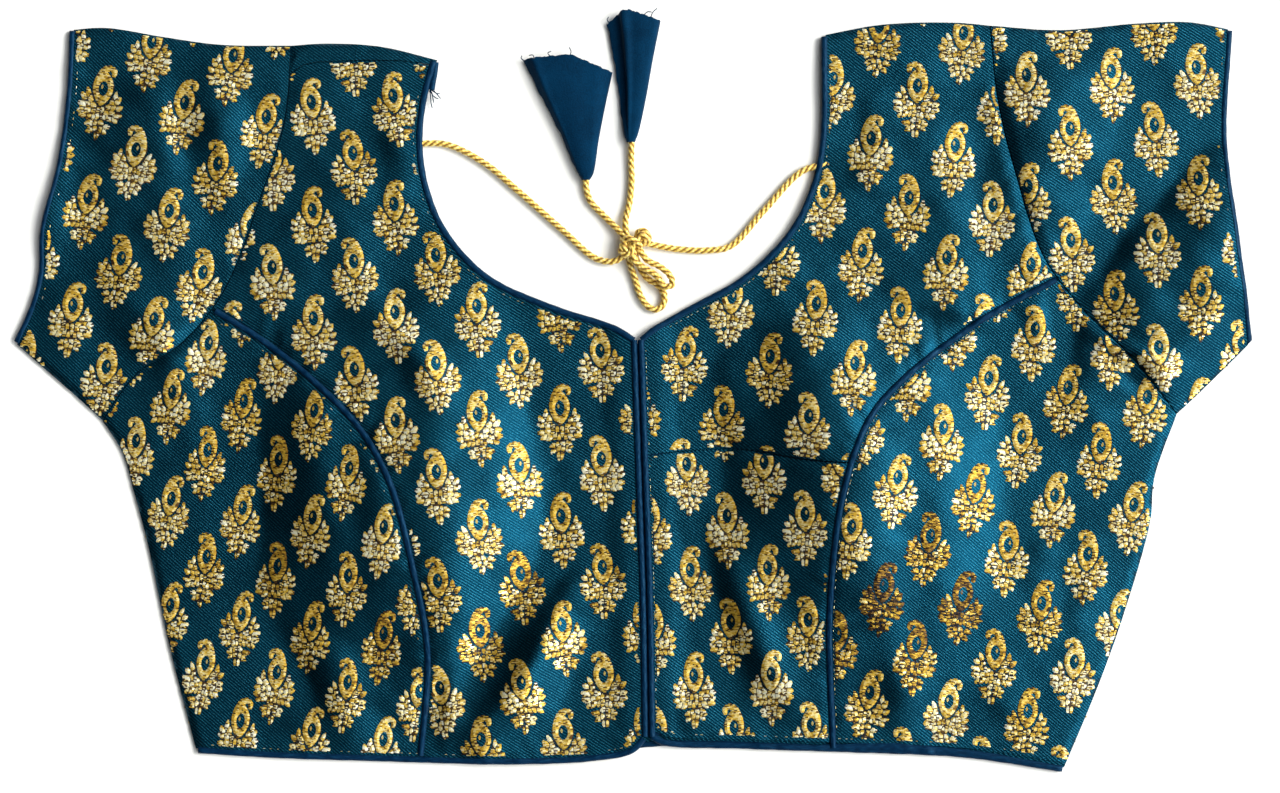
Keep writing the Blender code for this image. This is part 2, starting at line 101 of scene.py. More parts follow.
def ramp_of(tree, factor, stops):
    """A colour ramp. Columns of stops: place, colour."""
    ramp = add_node(tree, "ShaderNodeValToRGB", {"Fac": factor})
    elements = ramp.color_ramp.elements
    while len(elements) < len(stops):
        elements.new(0.5)
    for element, (place, colour) in zip(elements, stops):
        element.position = place
        element.color = (*colour, 1)
    return ramp.outputs["Color"]


def noise(tree, vector, scale, detail=2.0, output="Fac", **more):
    return add_node(tree, "ShaderNodeTexNoise",
                    {"Vector": vector, "Scale": scale, "Detail": detail, **more}).outputs[output]


def number(tree, operation, *values):
    return add_node(tree, "ShaderNodeMath", dict(enumerate(values)), operation=operation).outputs[0]


def ranged(tree, value, low, high, to_low=0.0, to_high=1.0):
    return add_node(tree, "ShaderNodeMapRange", {"Value": value, "From Min": low, "From Max": high,
                                                 "To Min": to_low, "To Max": to_high}).outputs["Result"]


def mixed(tree, blend, share, first, second):
    return add_node(tree, "ShaderNodeMixRGB", {"Fac": share, "Color1": first, "Color2": second},
                    blend_type=blend).outputs["Color"]


def mapped(tree, vector, **settings):
    return add_node(tree, "ShaderNodeMapping", {"Vector": vector, **settings}).outputs["Vector"]


def place_of(tree, kind="Object"):
    return add_node(tree, "ShaderNodeTexCoord").outputs[kind]


def map_of(tree, name):
    return add_node(tree, "ShaderNodeUVMap", uv_map=name).outputs["UV"]


def value_of(tree, name):
    return add_node(tree, "ShaderNodeAttribute", attribute_name=name).outputs["Fac"]


# %% [markdown]
# The sheet is plain pale cotton with a faint weave, enough for a floor that stays behind the garment.

# %% Pale cotton sheet
FLOOR_HALF = 1.6
FLOOR_DROP = 0.0002
pale_cotton, tree = new_finish("pale_cotton", {"Roughness": 0.95, "Specular IOR Level": 0.1})
place = place_of(tree)
tint = ramp_of(tree, noise(tree, place, 7.0, 3.0), [(0.35, (0.90, 0.89, 0.85)), (0.65, (0.94, 0.94, 0.92))])
dress(tree, tint, noise(tree, place, 900.0), 0.1, 0.0002)
floor_mesh = bpy.data.meshes.new("table_sheet")
corners = [(x * FLOOR_HALF, y * FLOOR_HALF, -FLOOR_DROP) for x, y in ((-1, -1), (1, -1), (1, 1), (-1, 1))]
floor_mesh.from_pydata(corners, [], [(0, 1, 2, 3)])
floor_mesh.materials.append(pale_cotton)
floor = bpy.data.objects.new("table_sheet", floor_mesh)
bpy.context.scene.collection.objects.link(floor)

# %% [markdown]
# ## Light
# Satin shows its form through its sheen: slopes that face the window on the right gleam and the others
# fall dark. So the room is bright towards the window, and one soft sun from there draws the edges.

# %% A soft sun through the window, and the room's brightness by direction
SUN = {"elevation": 42, "azimuth": 14, "strength": 2.9, "angle": 24, "colour": (1.0, 0.985, 0.955)}
# Columns: how far towards the window, from 0 to 1, and brightness
ROOM = [(0.0, 0.06), (0.38, 0.045), (0.46, 0.11), (0.52, 0.33), (0.60, 0.95), (0.70, 1.9), (0.82, 2.4),
        (1.0, 2.7)]
ROOM_TINT = (0.95, 0.98, 1.0)
ROOM_MOST = 3.0
sun_data = bpy.data.lights.new("window_sun", "SUN")
sun_data.energy = SUN["strength"]
sun_data.angle = math.radians(SUN["angle"])
sun_data.color = SUN["colour"]
sun = bpy.data.objects.new("window_sun", sun_data)
elevation, azimuth = math.radians(SUN["elevation"]), math.radians(SUN["azimuth"])
towards_sun = Vector((math.cos(elevation) * math.cos(azimuth), math.cos(elevation) * math.sin(azimuth),
                      math.sin(elevation)))
sun.rotation_euler = (-towards_sun).to_track_quat("-Z", "Y").to_euler()
bpy.context.scene.collection.objects.link(sun)
room = bpy.data.worlds.new("bright_room")
room.use_nodes = True
tree = room.node_tree
sideways = add_node(tree, "ShaderNodeSeparateXYZ", {"Vector": place_of(tree, "Generated")}).outputs["X"]
brightness = ramp_of(tree, ranged(tree, sideways, -1.0, 1.0),
                     [(place, tuple(value * tint / ROOM_MOST for tint in ROOM_TINT))
                      for place, value in ROOM])
tree.links.new(brightness, tree.nodes["Background"].inputs["Color"])
tree.nodes["Background"].inputs["Strength"].default_value = ROOM_MOST
bpy.context.scene.world = room
bpy.context.scene.view_settings.view_transform = "Standard"


# %% [markdown]
# ## Helpers for curves and meshes
# Every seam, cord and edge is a smooth curve through a few points, with evenly spaced points of its own.

# %% Smooth curves
def lengths_along(curve):
    """The distance of each point from the curve's first one."""
    return np.concatenate([[0], np.cumsum(np.linalg.norm(np.diff(curve, axis=0), axis=1))])


def read_at(table, along, places):
    """The table's rows at places along it."""
    return np.column_stack([np.interp(places, along, column) for column in table.T])


def respace(curve, step):
    """The same curve with evenly spaced points, its two ends kept."""
    along = lengths_along(curve)
    return read_at(curve, along, np.linspace(0, along[-1], max(2, round(along[-1] / step)) + 1))


def smooth_curve(points, step):
    """A smooth curve through the points, with a point about every step."""
    rows = np.array(points, float)
    if len(rows) == 2:
        rows = np.array([rows[0], (rows[0] + rows[1]) / 2, rows[1]])
    spans = np.sqrt(np.linalg.norm(np.diff(rows, axis=0), axis=1))
    slopes = np.gradient(rows, np.concatenate([[0], np.cumsum(spans)]), axis=0)
    curve = [rows[:1]]
    for i, span in enumerate(spans):
        t = np.linspace(0, 1, 40)[1:, None]
        start = (2 * t**3 - 3 * t**2 + 1) * rows[i] + (t**3 - 2 * t**2 + t) * span * slopes[i]
        finish = (3 * t**2 - 2 * t**3) * rows[i + 1] + (t**3 - t**2) * span * slopes[i + 1]
        curve.append(start + finish)
    return respace(np.vstack(curve), step)


def round_angles(count):
    return np.linspace(0, 2 * math.pi, count, endpoint=False)


def cross(a, b):
    return a[..., 0] * b[..., 1] - a[..., 1] * b[..., 0]


def normals_of(curve):
    """The unit normal to the left of each point of a plan curve."""
    along = np.gradient(curve, axis=0)
    along /= np.linalg.norm(along, axis=1)[:, None]
    return np.column_stack([-along[:, 1], along[:, 0]])


# %% Meshes from arrays
SHARP_FROM = 60


def add_piece(name, points, faces, finish, smooth=True):
    """A mesh object from points in millimetres. It rides on the blouse's one body."""
    mesh = bpy.data.meshes.new(name)
    mesh.from_pydata(np.asarray(points, float) * MM, [], faces)
    mesh.materials.append(finish)
    mesh.polygons.foreach_set("use_smooth", np.full(len(mesh.polygons), smooth))
    if smooth:
        mesh.set_sharp_from_angle(angle=math.radians(SHARP_FROM))
    mesh.update()
    made = bpy.data.objects.new(name, mesh)
    bpy.context.scene.collection.objects.link(made)
    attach(made, "root")
    return made


def raised(plan, height):
    """Rows of plan points with a height for each."""
    return np.concatenate([plan, np.broadcast_to(height, plan.shape[:2])[..., None]], axis=2)


def add_value(piece, name, values, domain="POINT"):
    """A number for each point or face, which a material reads by its name."""
    layer = piece.data.attributes.new(name, "FLOAT", domain)
    layer.data.foreach_set("value", np.asarray(values, np.float32))


def add_map(piece, name, plan):
    """A UV map from a place for each vertex."""
    layer = piece.data.uv_layers.new(name=name)
    corners = np.empty(len(piece.data.loops), np.int32)
    piece.data.loops.foreach_get("vertex_index", corners)
    layer.data.foreach_set("uv", np.asarray(plan, np.float32)[corners].ravel())


def tube_faces(rings, around):
    """Quads of a closed tube with its two end caps, for rings of points that follow each other."""
    i, j = np.meshgrid(np.arange(rings - 1), np.arange(around), indexing="ij")
    k = (j + 1) % around
    walls = np.stack([i * around + j, i * around + k, (i + 1) * around + k, (i + 1) * around + j], -1)
    last = (rings - 1) * around
    ends = [tuple(range(around - 1, -1, -1)), tuple(range(last, last + around))]
    return [tuple(face) for face in walls.reshape(-1, 4).tolist()] + ends


# %% [markdown]
# ## The tie cord
# The dori is three plies of gold thread, about 3 mm across. Each ply winds along the cord as a bulge,
# so the tube's section has three lobes and turns as it goes.

# %% Twisted gold finish: painted shade in the grooves and a painted highlight on the ply crests, with fine fibres along each ply
TWISTED_GOLD, tree = new_finish("twisted_gold", {"Metallic": 0.3, "Roughness": 0.36, "Sheen Weight": 0.2})
fibres = noise(tree, mapped(tree, map_of(tree, "plies"), Scale=(9.0, 0.6, 1.0)), 3.0, 3.0)
uneven = number(tree, "ADD", fibres, noise(tree, place_of(tree), 800.0))
# The ramp's pale first stop is a painted highlight on the crests, and its brown last stop is painted shade
# in the grooves
painted_ply_light = number(tree, "MULTIPLY_ADD", value_of(tree, "groove_shade"), 0.62, -0.2)
gold = ramp_of(tree, number(tree, "MULTIPLY_ADD", uneven, 0.4, painted_ply_light),
               [(0.18, (1.0, 0.93, 0.46)), (0.34, (0.98, 0.71, 0.13)), (0.52, (0.63, 0.34, 0.028)),
                (0.74, (0.14, 0.056, 0.005))])
dress(tree, gold, fibres, 0.5, 0.0003)

# %% Rope: a lobed section that turns as it follows the route
CORD_RADIUS = 1.5
PLIES = 3
BEADS = 4
PLY_TURN = 9.6
RING_STEP = 0.45
AROUND = 18
KNOT_TOP = 9.6


def rope_rings(centre, radius, start_angle):
    """(points, painted shade of the grooves, map) of a twisted rope along evenly spaced centre points."""
    along = np.gradient(centre, axis=0)
    along /= np.linalg.norm(along, axis=1)[:, None]
    side = np.cross(along, (0, 0, 1.0))
    side /= np.maximum(np.linalg.norm(side, axis=1), 1e-6)[:, None]
    for i in range(1, len(side)):
        carried = side[i - 1] - along[i] * np.dot(side[i - 1], along[i])
        side[i] = carried / np.linalg.norm(carried)
    up = np.cross(side, along)
    distance = lengths_along(centre)[:, None]
    angle = round_angles(AROUND)[None, :]
    twist = distance * 2 * math.pi / PLY_TURN
    lobe = np.abs(np.cos(PLIES / 2 * (angle - twist - start_angle)))
    bead = np.abs(np.cos(BEADS / 2 * (angle + twist)))
    reach = radius * (0.62 + 0.30 * lobe**0.8 + 0.13 * bead)
    points = (centre[:, None, :] + (np.cos(angle) * reach)[..., None] * side[:, None, :]
              + (np.sin(angle) * reach)[..., None] * up[:, None, :])
    places = np.stack([angle - twist, np.broadcast_to(distance, lobe.shape)], -1)
    # Painted shade: the deeper the groove between plies, the darker the gold
    groove_shade = 1 - lobe * (0.62 + 0.38 * bead)
    return points.reshape(-1, 3), groove_shade.ravel(), places.reshape(-1, 2)


def twisted(name, centres, low, radius=CORD_RADIUS, stagger=0, finish=TWISTED_GOLD):
    """One mesh of ropes along the centre lines, none of them below the low height."""
    ropes = [rope_rings(centre, radius, stagger * i) for i, centre in enumerate(centres)]
    faces, used = [], 0
    for ring_points, _, _ in ropes:
        faces += [tuple(v + used for v in face) for face in tube_faces(len(ring_points) // AROUND, AROUND)]
        used += len(ring_points)
    points, groove_shade, places = (np.concatenate(column) for column in zip(*ropes))
    points[:, 2] = np.clip(points[:, 2], low, KNOT_TOP)
    made = add_piece(name, points, faces, finish)
    if finish == TWISTED_GOLD:
        add_value(made, "groove_shade", groove_shade)
        add_map(made, "plies", places)
    return made


# %% [markdown]
# The routes are those of the solids: from under the neck edge to the knot, out of it as two loops and
# two tails. The short loop lies on the long one.

# %% The cord's six stretches
# Columns of each route: x, y, z
ROUTES = {
    "dori_left": [(-97.2, 114, 1.6), (-83.5, 113.5, 1.6), (-66.5, 105, 1.6), (-52, 93, 1.6),
                  (-31, 74.5, 1.6), (-17, 62.5, 1.6), (-9, 61, 2.4), (-3, 64, 3.2)],
    "dori_right": [(88, 105, 1.6), (76, 101.5, 1.6), (59, 84, 1.6), (44, 68, 1.6), (34, 66, 1.6),
                   (20.5, 66.5, 1.6), (9, 68.5, 2.4), (1, 70.5, 3.2)],
    "tail_left": [(-1, 69, 4.6), (-6, 74.5, 3.0), (-12.5, 81, 1.6), (-19, 88, 1.6), (-21, 94, 1.7),
                  (-20.9, 101, 2.4)],
    "tail_right": [(-2.4, 69, 4.4), (-3.4, 79, 2.6), (-1.6, 87, 1.6), (-0.6, 97, 1.6),
                   (-0.8, 106.5, 1.7), (-0.5, 118, 2.4)],
    "bow_loop_long": [(-2.4, 67, 3.4), (-1.6, 61, 2.2), (1, 53, 1.6), (3.4, 45.5, 1.6), (7, 40.6, 1.6),
                      (10.5, 39.4, 1.6), (13.6, 41.6, 1.6), (14, 46.5, 1.6), (11, 50.6, 1.6),
                      (7, 53, 1.6), (3.6, 57.4, 2.2), (1.4, 63, 3.0), (1.4, 67, 3.4)],
    "bow_loop_short": [(2.4, 67, 5.4), (6.4, 61.5, 5.2), (12, 58.6, 4.9), (16.6, 54.6, 4.8),
                       (17.6, 50.6, 4.8), (14.4, 49.6, 4.8), (10.4, 54.6, 4.9), (5.6, 57.6, 5.2),
                       (0.6, 61.5, 5.6), (0, 67, 5.8)],
}
cords = {}
for name, route in ROUTES.items():
    centre = smooth_curve(route, RING_STEP)
    cords[name] = (twisted(name + "_rope", [centre], 0.03), centre)
    print(name, "length, mm:", round(lengths_along(centre)[-1], 1))

# %% [markdown]
# A bow knot is the cord itself, wound round the two ends. Each wrap is a short closed ring of the same
# rope at its own slant, and all of them are one mesh.

# %% The knot's wraps
# Columns: centre x, y, z, half width, half height, slant in plan, lean
WRAPS = [
    (-3.6, 67.2, 3.6, 4.0, 2.3, 14, 0.0),
    (-0.8, 66.0, 3.8, 4.2, 2.4, 22, 0.1),
    (-2.8, 66.6, 5.6, 2.9, 0.9, -30, 0.85),
    (1.8, 69.2, 4.4, 3.9, 2.4, -38, -0.1),
    (4.4, 71.8, 4.0, 3.0, 1.0, 30, 0.85),
    (4.3, 71.7, 6.0, 1.6, 1.2, 50, 0.6),
    (-0.2, 69.4, 6.2, 3.6, 1.5, 62, 0.3),
]


turn = np.linspace(0, 2 * math.pi, 44)
wraps = []
for x, y, z, half_width, half_height, slant, lean in WRAPS:
    across = math.radians(slant) + math.pi / 2
    run = half_width * np.cos(turn)
    drift = lean * half_width * np.sin(turn)
    centre = np.column_stack([x + run * math.cos(across) + drift * math.sin(across),
                              y + run * math.sin(across) - drift * math.cos(across),
                              z + half_height * np.sin(turn)])
    wraps.append(respace(centre, RING_STEP))
knot = twisted("dori_knot_wraps", wraps, 0.05, CORD_RADIUS * 0.97, 1)
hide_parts("dori_knot")

# %% [markdown]
# ## The pattern: every seam and edge in plan
# These edges are those that the solids were cut by. Panels, pipings, stitches and puckers all use them.

# %% Edges of the pattern
# Columns of each edge: x, y, along the edge from its first end to its last
EDGES = {
    "sleeve_top_left": [(-153.5, 158), (-186, 158.5), (-211.5, 162), (-237, 166), (-253.5, 165)],
    "shoulder_left": [(-88, 151.5), (-113, 157.5), (-137.5, 159), (-153.5, 158)],
    "shoulder_seam_left": [(-89, 149), (-103, 151), (-133.5, 151), (-147, 149.5), (-154.5, 145)],
    "neck_left": [(1.5, 26.5), (-7.5, 32), (-36, 41.5), (-65, 55), (-83.5, 75), (-92, 95.5),
                  (-94.5, 115.5), (-92.5, 134.5), (-88, 151.5)],
    "cuff_left": [(-278.5, 25), (-271, 41.5), (-267.5, 55), (-266.5, 75), (-259, 104.5),
                  (-254.5, 139.5), (-253.5, 165)],
    "under_left": [(-238.5, -10.5), (-251, 1), (-266.5, 14.5), (-278.5, 25)],
    "armhole_left": [(-153.5, 158), (-156.5, 124.5), (-168, 88), (-184, 47.5), (-203, 24),
                     (-223, 10.5), (-238.5, -10.5)],
    "side_left": [(-238.5, -10.5), (-229.5, -25), (-224.5, -42), (-218, -66.5), (-208.5, -111.5),
                  (-196, -160)],
    "hem_left": [(-196, -160), (-164, -162), (-119.5, -163.5), (-53, -165), (-17.5, -163.5),
                 (0, -160), (6.5, -153.5)],
    "princess_left": [(-188, 39), (-166.5, 25.5), (-144, 8), (-122, -14.5), (-108, -39.5),
                      (-98, -78), (-92, -114.5), (-95.5, -162.5)],
    "opening": [(2, 26), (4, -33), (6, -91.5), (7, -154)],
    "sleeve_top_right": [(269.5, 165), (250.5, 168.5), (227, 168), (192, 165), (160.5, 167)],
    "shoulder_right": [(160.5, 167), (146, 168.3), (112.5, 167.5), (84.5, 162.5)],
    "neck_right": [(84.5, 162.5), (84, 115.5), (80, 95.5), (70, 75), (50, 55), (25.5, 41), (8, 31),
                   (2.5, 26.5)],
    "cuff_right": [(269.5, 165), (267, 115.5), (272, 71), (278.5, 25.5)],
    "under_right": [(278.5, 25.5), (268, 15), (251.5, -1), (244.5, -7.5)],
    "armhole_right": [(244.5, -7.5), (224.5, 17), (201, 41), (184.5, 63.5), (171.5, 102),
                      (164, 133.5), (160.5, 167)],
    "side_right": [(193, -168.5), (210, -127.5), (221, -96.5), (232.5, -56), (234.5, -36),
                   (244.5, -7.5)],
    "hem_right": [(7.5, -153.5), (14, -156.5), (49, -158), (93, -159.5), (149, -162), (193, -168.5)],
    "princess_right": [(190.5, 53), (158, 35.5), (120.5, 7.5), (105, -11), (93.5, -44), (88, -97.5),
                       (90, -159)],
    "pieced_seam": [(4, -26.5), (20.5, -24.5), (48, -23.5), (78, -28), (100, -29.5)],
    "back_hem": [(-196, -160), (-164, -162), (-119.5, -163.2), (-53, -164), (-20, -162), (6, -157.5),
                 (30, -157), (93, -159.2), (149, -161.8), (193, -168.5)],
    "back_neck": [(91, 163.5), (90, 111), (83, 84), (70, 66), (52, 49), (28, 34), (2, 18), (-34, 34),
                  (-61, 44), (-81, 61), (-92, 77.5), (-98, 95.5), (-99.5, 115.5), (-97.5, 134),
                  (-94, 153)],
}
GAP = 0.3
CLOTH = 0.8
BINDING = 2.9
EDGE_STEP = 2.2
EXTRA = 6.0


def edge(name, step=EDGE_STEP):
    """The edge as a curve, from its other end if its name has a minus."""
    curve = smooth_curve(EDGES[name.lstrip("-")], step)
    return curve[::-1] if name.startswith("-") else curve


print("edges:", len(EDGES), "length in all, mm:",
      round(sum(lengths_along(edge(name))[-1] for name in EDGES)))


# %% Outlines: neighbouring edges run on until they cross
def moved(curve, inset):
    """The curve moved to its left, and run on straight past both ends so that it meets its neighbours."""
    curve = curve + normals_of(curve) * inset
    first = curve[0] - (curve[1] - curve[0]) / np.linalg.norm(curve[1] - curve[0]) * EXTRA
    last = curve[-1] + (curve[-1] - curve[-2]) / np.linalg.norm(curve[-1] - curve[-2]) * EXTRA
    return np.vstack([first, curve, last])


def crossing(first, second):
    """Where the last crossing of two curves lies: (place on the first, place on the second, point)."""
    a, b = first[:-1, None, :], np.diff(first, axis=0)[:, None, :]
    c, d = second[None, :-1, :], np.diff(second, axis=0)[None, :, :]
    across = cross(b, d)
    across = np.where(np.abs(across) < 1e-9, 1e-9, across)
    s, t = cross(c - a, d) / across, cross(c - a, b) / across
    i, j = np.argwhere((s >= 0) & (s <= 1) & (t >= 0) & (t <= 1))[-1]
    return i + s[i, j], j + t[i, j], first[i] + s[i, j] * (first[i + 1] - first[i])


def outline(sides):
    """The closed outline of a panel. Columns of sides: edge, inset; anticlockwise."""
    curves = [moved(edge(name), inset) for name, inset in sides]
    corners = [crossing(curves[i - 1], curves[i]) for i in range(len(curves))]
    points = []
    for i, curve in enumerate(curves):
        start, point = corners[i][1], corners[i][2]
        end = corners[(i + 1) % len(curves)][0]
        points += [point] + [curve[k] for k in range(len(curve)) if start + 0.25 < k < end - 0.25]
    return np.array(points)


# %% [markdown]
# ## The form of the upper cloth
# Laid flat, the fronts keep the shape that their seams sewed into them: two broad mounds, with creases
# where the bodice buckles. One height map over the plan carries panels, pipings,
# stitches and sprays together.

# %% Mounds and creases
# Columns: x, y, half length, reach to the left of its run, reach to the right, angle, height
MOUNDS = [
    (-92, -54, 126, 80, 62, 97, 12.8),
    (99, -48, 126, 70, 78, 97, 13.2),
    (184, -96, 70, 40, 40, 80, 1.0),
    (-142, -40, 66, 34, 44, 97, 3.2),
    (-214, 86, 86, 44, 50, 74, 2.8),
    (184, 124, 66, 30, 42, 92, 4.4),
    (252, 58, 88, 46, 160, 48, 7.6),
    (-120, 100, 74, 36, 36, 92, 1.6),
    (122, 105, 74, 38, 38, 88, 1.8),
]
# Columns: first x, y, last x, y, width, height, wider to the left of the run, bow to its left
CREASES = [
    (-31, -92, -66, -149, 11, 6.0, 0.35, 3),
    (-47, -82, -86, -136, 10, -4.6, 0.0, 2),
    (-178, 2, -180, -76, 9, -2.4, 0.0, 3),
    (-150, -100, -126, -150, 9, 1.5, 0.0, 3),
    (-168, -108, -140, -147, 8, -2.4, 0.0, 2),
    (-118, -26, -112, -96, 8, 1.0, 0.0, 2),
    (40, -64, 68, -134, 9, 4.2, 0.25, -3),
    (22, -74, 40, -138, 8, -2.6, 0.0, 0),
    (134, 12, 140, -78, 13, 1.6, 0.3, 4),
    (206, -70, 206, -124, 10, 1.2, -0.2, 2),
    (192, -70, 194, -120, 8, -1.4, 0.0, 0),
    (118, -118, 124, -156, 9, 1.8, 0.2, 0),
    (200, 52, 262, 118, 10, -3.0, 0.2, 3),
    (210, 28, 247, 12, 4, 2.4, 0.0, -2),
    (220, 12, 234, 0, 4, -2.4, 0.0, 0),
    (128, 44, 162, 38, 6, 2.6, 0.2, -2),
    (192, 50, 193, 16, 6, -2.8, 0.0, 1),
    (182, 46, 182, 20, 6, 1.6, 0.0, 0),
    (-262, 104, -266, 60, 9, 2.6, 0.2, 0),
    (-252, 158, -254, 134, 8, 1.8, 0.0, 0),
    (-226, 46, -204, -2, 10, 1.8, 0.2, 4),
    (-240, 30, -226, 2, 8, -2.2, 0.0, 0),
    (-278, 49, -252, 56, 4, -1.5, 0.0, 0),
    (-188, 138, -184, 96, 9, 1.0, 0.4, 2),
    (-204, 136, -199, 100, 7, -1.4, 0.0, 0),
    (-81, -122, -85, -160, 5, 2.0, 0.3, 0),
    (-112, 33, -86, 2, 7, 2.4, 0.0, 2),
    (6, 4, 9, -146, 9, -1.2, 0.0, 0),
    (-110, 128, -104, 86, 8, 1.0, 0.2, 2),
    (108, 140, 104, 96, 9, 1.2, 0.2, 2),
    (-210, -60, -222, -96, 6, 1.2, 0.0, 1),
    (150, -130, 182, -150, 8, 1.4, 0.2, 2),
    (-60, -143, -20, -157, 6, 0.7, 0.0, 2),
]
MOST_RISE = 15.4
HIGH_STEP = 0.9
SPAN_X, SPAN_Y = (-284.0, 284.0), (-174.0, 175.0)
grid_x = np.arange(SPAN_X[0], SPAN_X[1] + HIGH_STEP, HIGH_STEP)
grid_y = np.arange(SPAN_Y[0], SPAN_Y[1] + HIGH_STEP, HIGH_STEP)
plan_x, plan_y = np.meshgrid(grid_x, grid_y)


def bell(share):
    """A smooth hump: 1 at 0, and 0 at 1 and beyond on both sides."""
    return (1 + np.cos(math.pi * np.clip(np.abs(share), 0, 1))) / 2


STEEPEST_FROM = 0.2
share_down = np.linspace(0, 1, 101)
steepness = np.minimum(1, np.minimum(share_down, 1 - share_down) / STEEPEST_FROM)
fallen = np.cumsum(steepness) / steepness.sum()


def tent(share):
    """A hump with even flanks, rounded at its crest and its foot."""
    return np.interp(np.abs(share), share_down, 1 - fallen)


def mound_rise(row):
    x, y, half_length, left, right, angle, height = row
    turn = math.radians(angle)
    u = (plan_x - x) * math.cos(turn) + (plan_y - y) * math.sin(turn)
    v = (plan_y - y) * math.cos(turn) - (plan_x - x) * math.sin(turn)
    return height * bell(u / half_length) * tent(v / np.where(v > 0, left, right))


def crease_rise(row):
    x0, y0, x1, y1, width, height, lean, bow = row
    length = math.hypot(x1 - x0, y1 - y0)
    ux, uy = (x1 - x0) / length, (y1 - y0) / length
    along = ((plan_x - x0) * ux + (plan_y - y0) * uy) / length
    held = np.clip(along, 0, 1)
    across = (plan_y - y0) * ux - (plan_x - x0) * uy - 4 * bow * held * (1 - held)
    past = (along - held) * length
    spread = width * np.where(across > 0, 1 + lean, 1 - lean)
    taper = 0.45 + 0.55 * np.sin(math.pi * held)
    return height * taper * np.exp(-((across / spread) ** 2) - (past / (width * 1.6)) ** 2)


broad_rise = sum(mound_rise(row) for row in MOUNDS)
crease_total = sum(crease_rise(row) for row in CREASES)
print("mounds rise, mm:", round(float(broad_rise.max()), 1), "creases:",
      round(float(crease_total.min()), 1), "to", round(float(crease_total.max()), 1))


# %% [markdown]
# A seam puckers satin and sits a little lower than the cloth beside it. So each place near a seam has
# its distance from it and its distance along it.

# %% Distance from each seam, and along it
SEAM_REACH = 34.0


def seam_field(name):
    """(distance from the seam, distance along it) over the plan, inf beyond reach."""
    away = np.full(plan_x.shape, np.inf)
    run = np.zeros(plan_x.shape)
    curve = edge(name, 4.0)
    along = lengths_along(curve)
    for start, finish, passed in zip(curve[:-1], curve[1:], along[:-1]):
        low, high = np.minimum(start, finish) - SEAM_REACH, np.maximum(start, finish) + SEAM_REACH
        columns = slice(*np.searchsorted(grid_x, [low[0], high[0]]))
        rows = slice(*np.searchsorted(grid_y, [low[1], high[1]]))
        step = finish - start
        length = np.linalg.norm(step)
        x, y = plan_x[rows, columns] - start[0], plan_y[rows, columns] - start[1]
        place = np.clip((x * step[0] + y * step[1]) / length**2, 0, 1)
        distance = np.hypot(x - place * step[0], y - place * step[1])
        nearer = distance < away[rows, columns]
        away[rows, columns] = np.where(nearer, distance, away[rows, columns])
        run[rows, columns] = np.where(nearer, passed + place * length, run[rows, columns])
    return away, run


seams = {name: seam_field(name) for name in EDGES}


def nearest(names):
    return np.minimum.reduce([seams[name][0] for name in names])


def eased(share):
    share = np.clip(share, 0, 1)
    return share * share * (3 - 2 * share)


# %% Puckers, seam dips and the settling of the outer edges
# Columns: seam, pucker height, how far it reaches, pucker spacing, dip at the seam
PUCKERS = [
    ("princess_left", 0.50, 10, 8.5, 0.5),
    ("princess_right", 0.55, 11, 9.5, 0.5),
    ("armhole_left", 0.35, 9, 10.0, 1.2),
    ("armhole_right", 0.40, 9, 9.0, 1.2),
    ("neck_left", 0.12, 7, 9.0, 0.05),
    ("neck_right", 0.14, 7, 10.0, 0.05),
    ("cuff_left", 0.30, 9, 12.0, 0.3),
    ("cuff_right", 0.28, 9, 13.0, 0.3),
    ("hem_left", 0.35, 10, 13.0, 0.2),
    ("hem_right", 0.40, 11, 15.0, 0.2),
    ("opening", 0.22, 7, 11.0, 0.4),
    ("side_left", 0.45, 8, 11.0, 0.0),
    ("side_right", 0.65, 9, 10.0, 0.0),
    ("pieced_seam", 0.14, 6, 9.0, 1.0),
    ("shoulder_seam_left", 0.18, 6, 9.0, 0.9),
]
FOLDED = ["side_left", "side_right", "under_left", "under_right", "sleeve_top_left",
          "sleeve_top_right", "shoulder_left", "shoulder_right"]
HEMS = ["hem_left", "hem_right"]
FIRM_EDGES = ["cuff_left", "neck_left", "neck_right"]
DIP_WIDTH = 2.4
# How far each kind of edge holds the cloth down
FOLD_HOLDS, HEM_HOLDS, FIRM_HOLDS = 26, 40, 30


def wandering(distance, spacing):
    """An uneven wave along a seam, from three waves that never fall in step."""
    phases = dice.uniform(0, 2 * math.pi, 3)
    shares = (1.0, 0.62, 1.71)
    return sum(math.sqrt(share) * np.sin(distance * 2 * math.pi / (spacing * share) + phase)
               for share, phase in zip(shares, phases)) / 2.4


seam_rise = np.zeros(plan_x.shape)
for name, height, reach, spacing, dip in PUCKERS:
    away, run = seams[name]
    slanting = wandering(run + 0.5 * np.minimum(away, SEAM_REACH), spacing)
    swell = wandering(run, spacing * 4.5)
    seam_rise += height * (0.75 + 0.5 * swell) * slanting * np.exp(-((away / reach) ** 2))
    seam_rise -= dip * np.exp(-((away / DIP_WIDTH) ** 2))
settled = eased(nearest(FOLDED) / FOLD_HOLDS)
part_settled = 0.45 + 0.55 * eased(nearest(HEMS) / HEM_HOLDS)
part_settled = part_settled * (0.75 + 0.25 * eased(nearest(FIRM_EDGES) / FIRM_HOLDS))

# %% [markdown]
# Satin is never quite flat: faint waves of several lengths cross it in uneven directions.

# %% Faint waves all over
# Columns: shortest wave, longest wave, height, how many
WAVES = [(60, 120, 0.34, 7), (24, 48, 0.13, 9), (9, 16, 0.028, 10)]
waves = np.zeros(plan_x.shape)
for shortest, longest, height, count in WAVES:
    for _ in range(count):
        heading = dice.uniform(0, math.pi)
        wave = dice.uniform(shortest, longest)
        waves += height * np.sin((plan_x * math.cos(heading) + plan_y * math.sin(heading))
                                 * 2 * math.pi / wave + dice.uniform(0, 2 * math.pi))

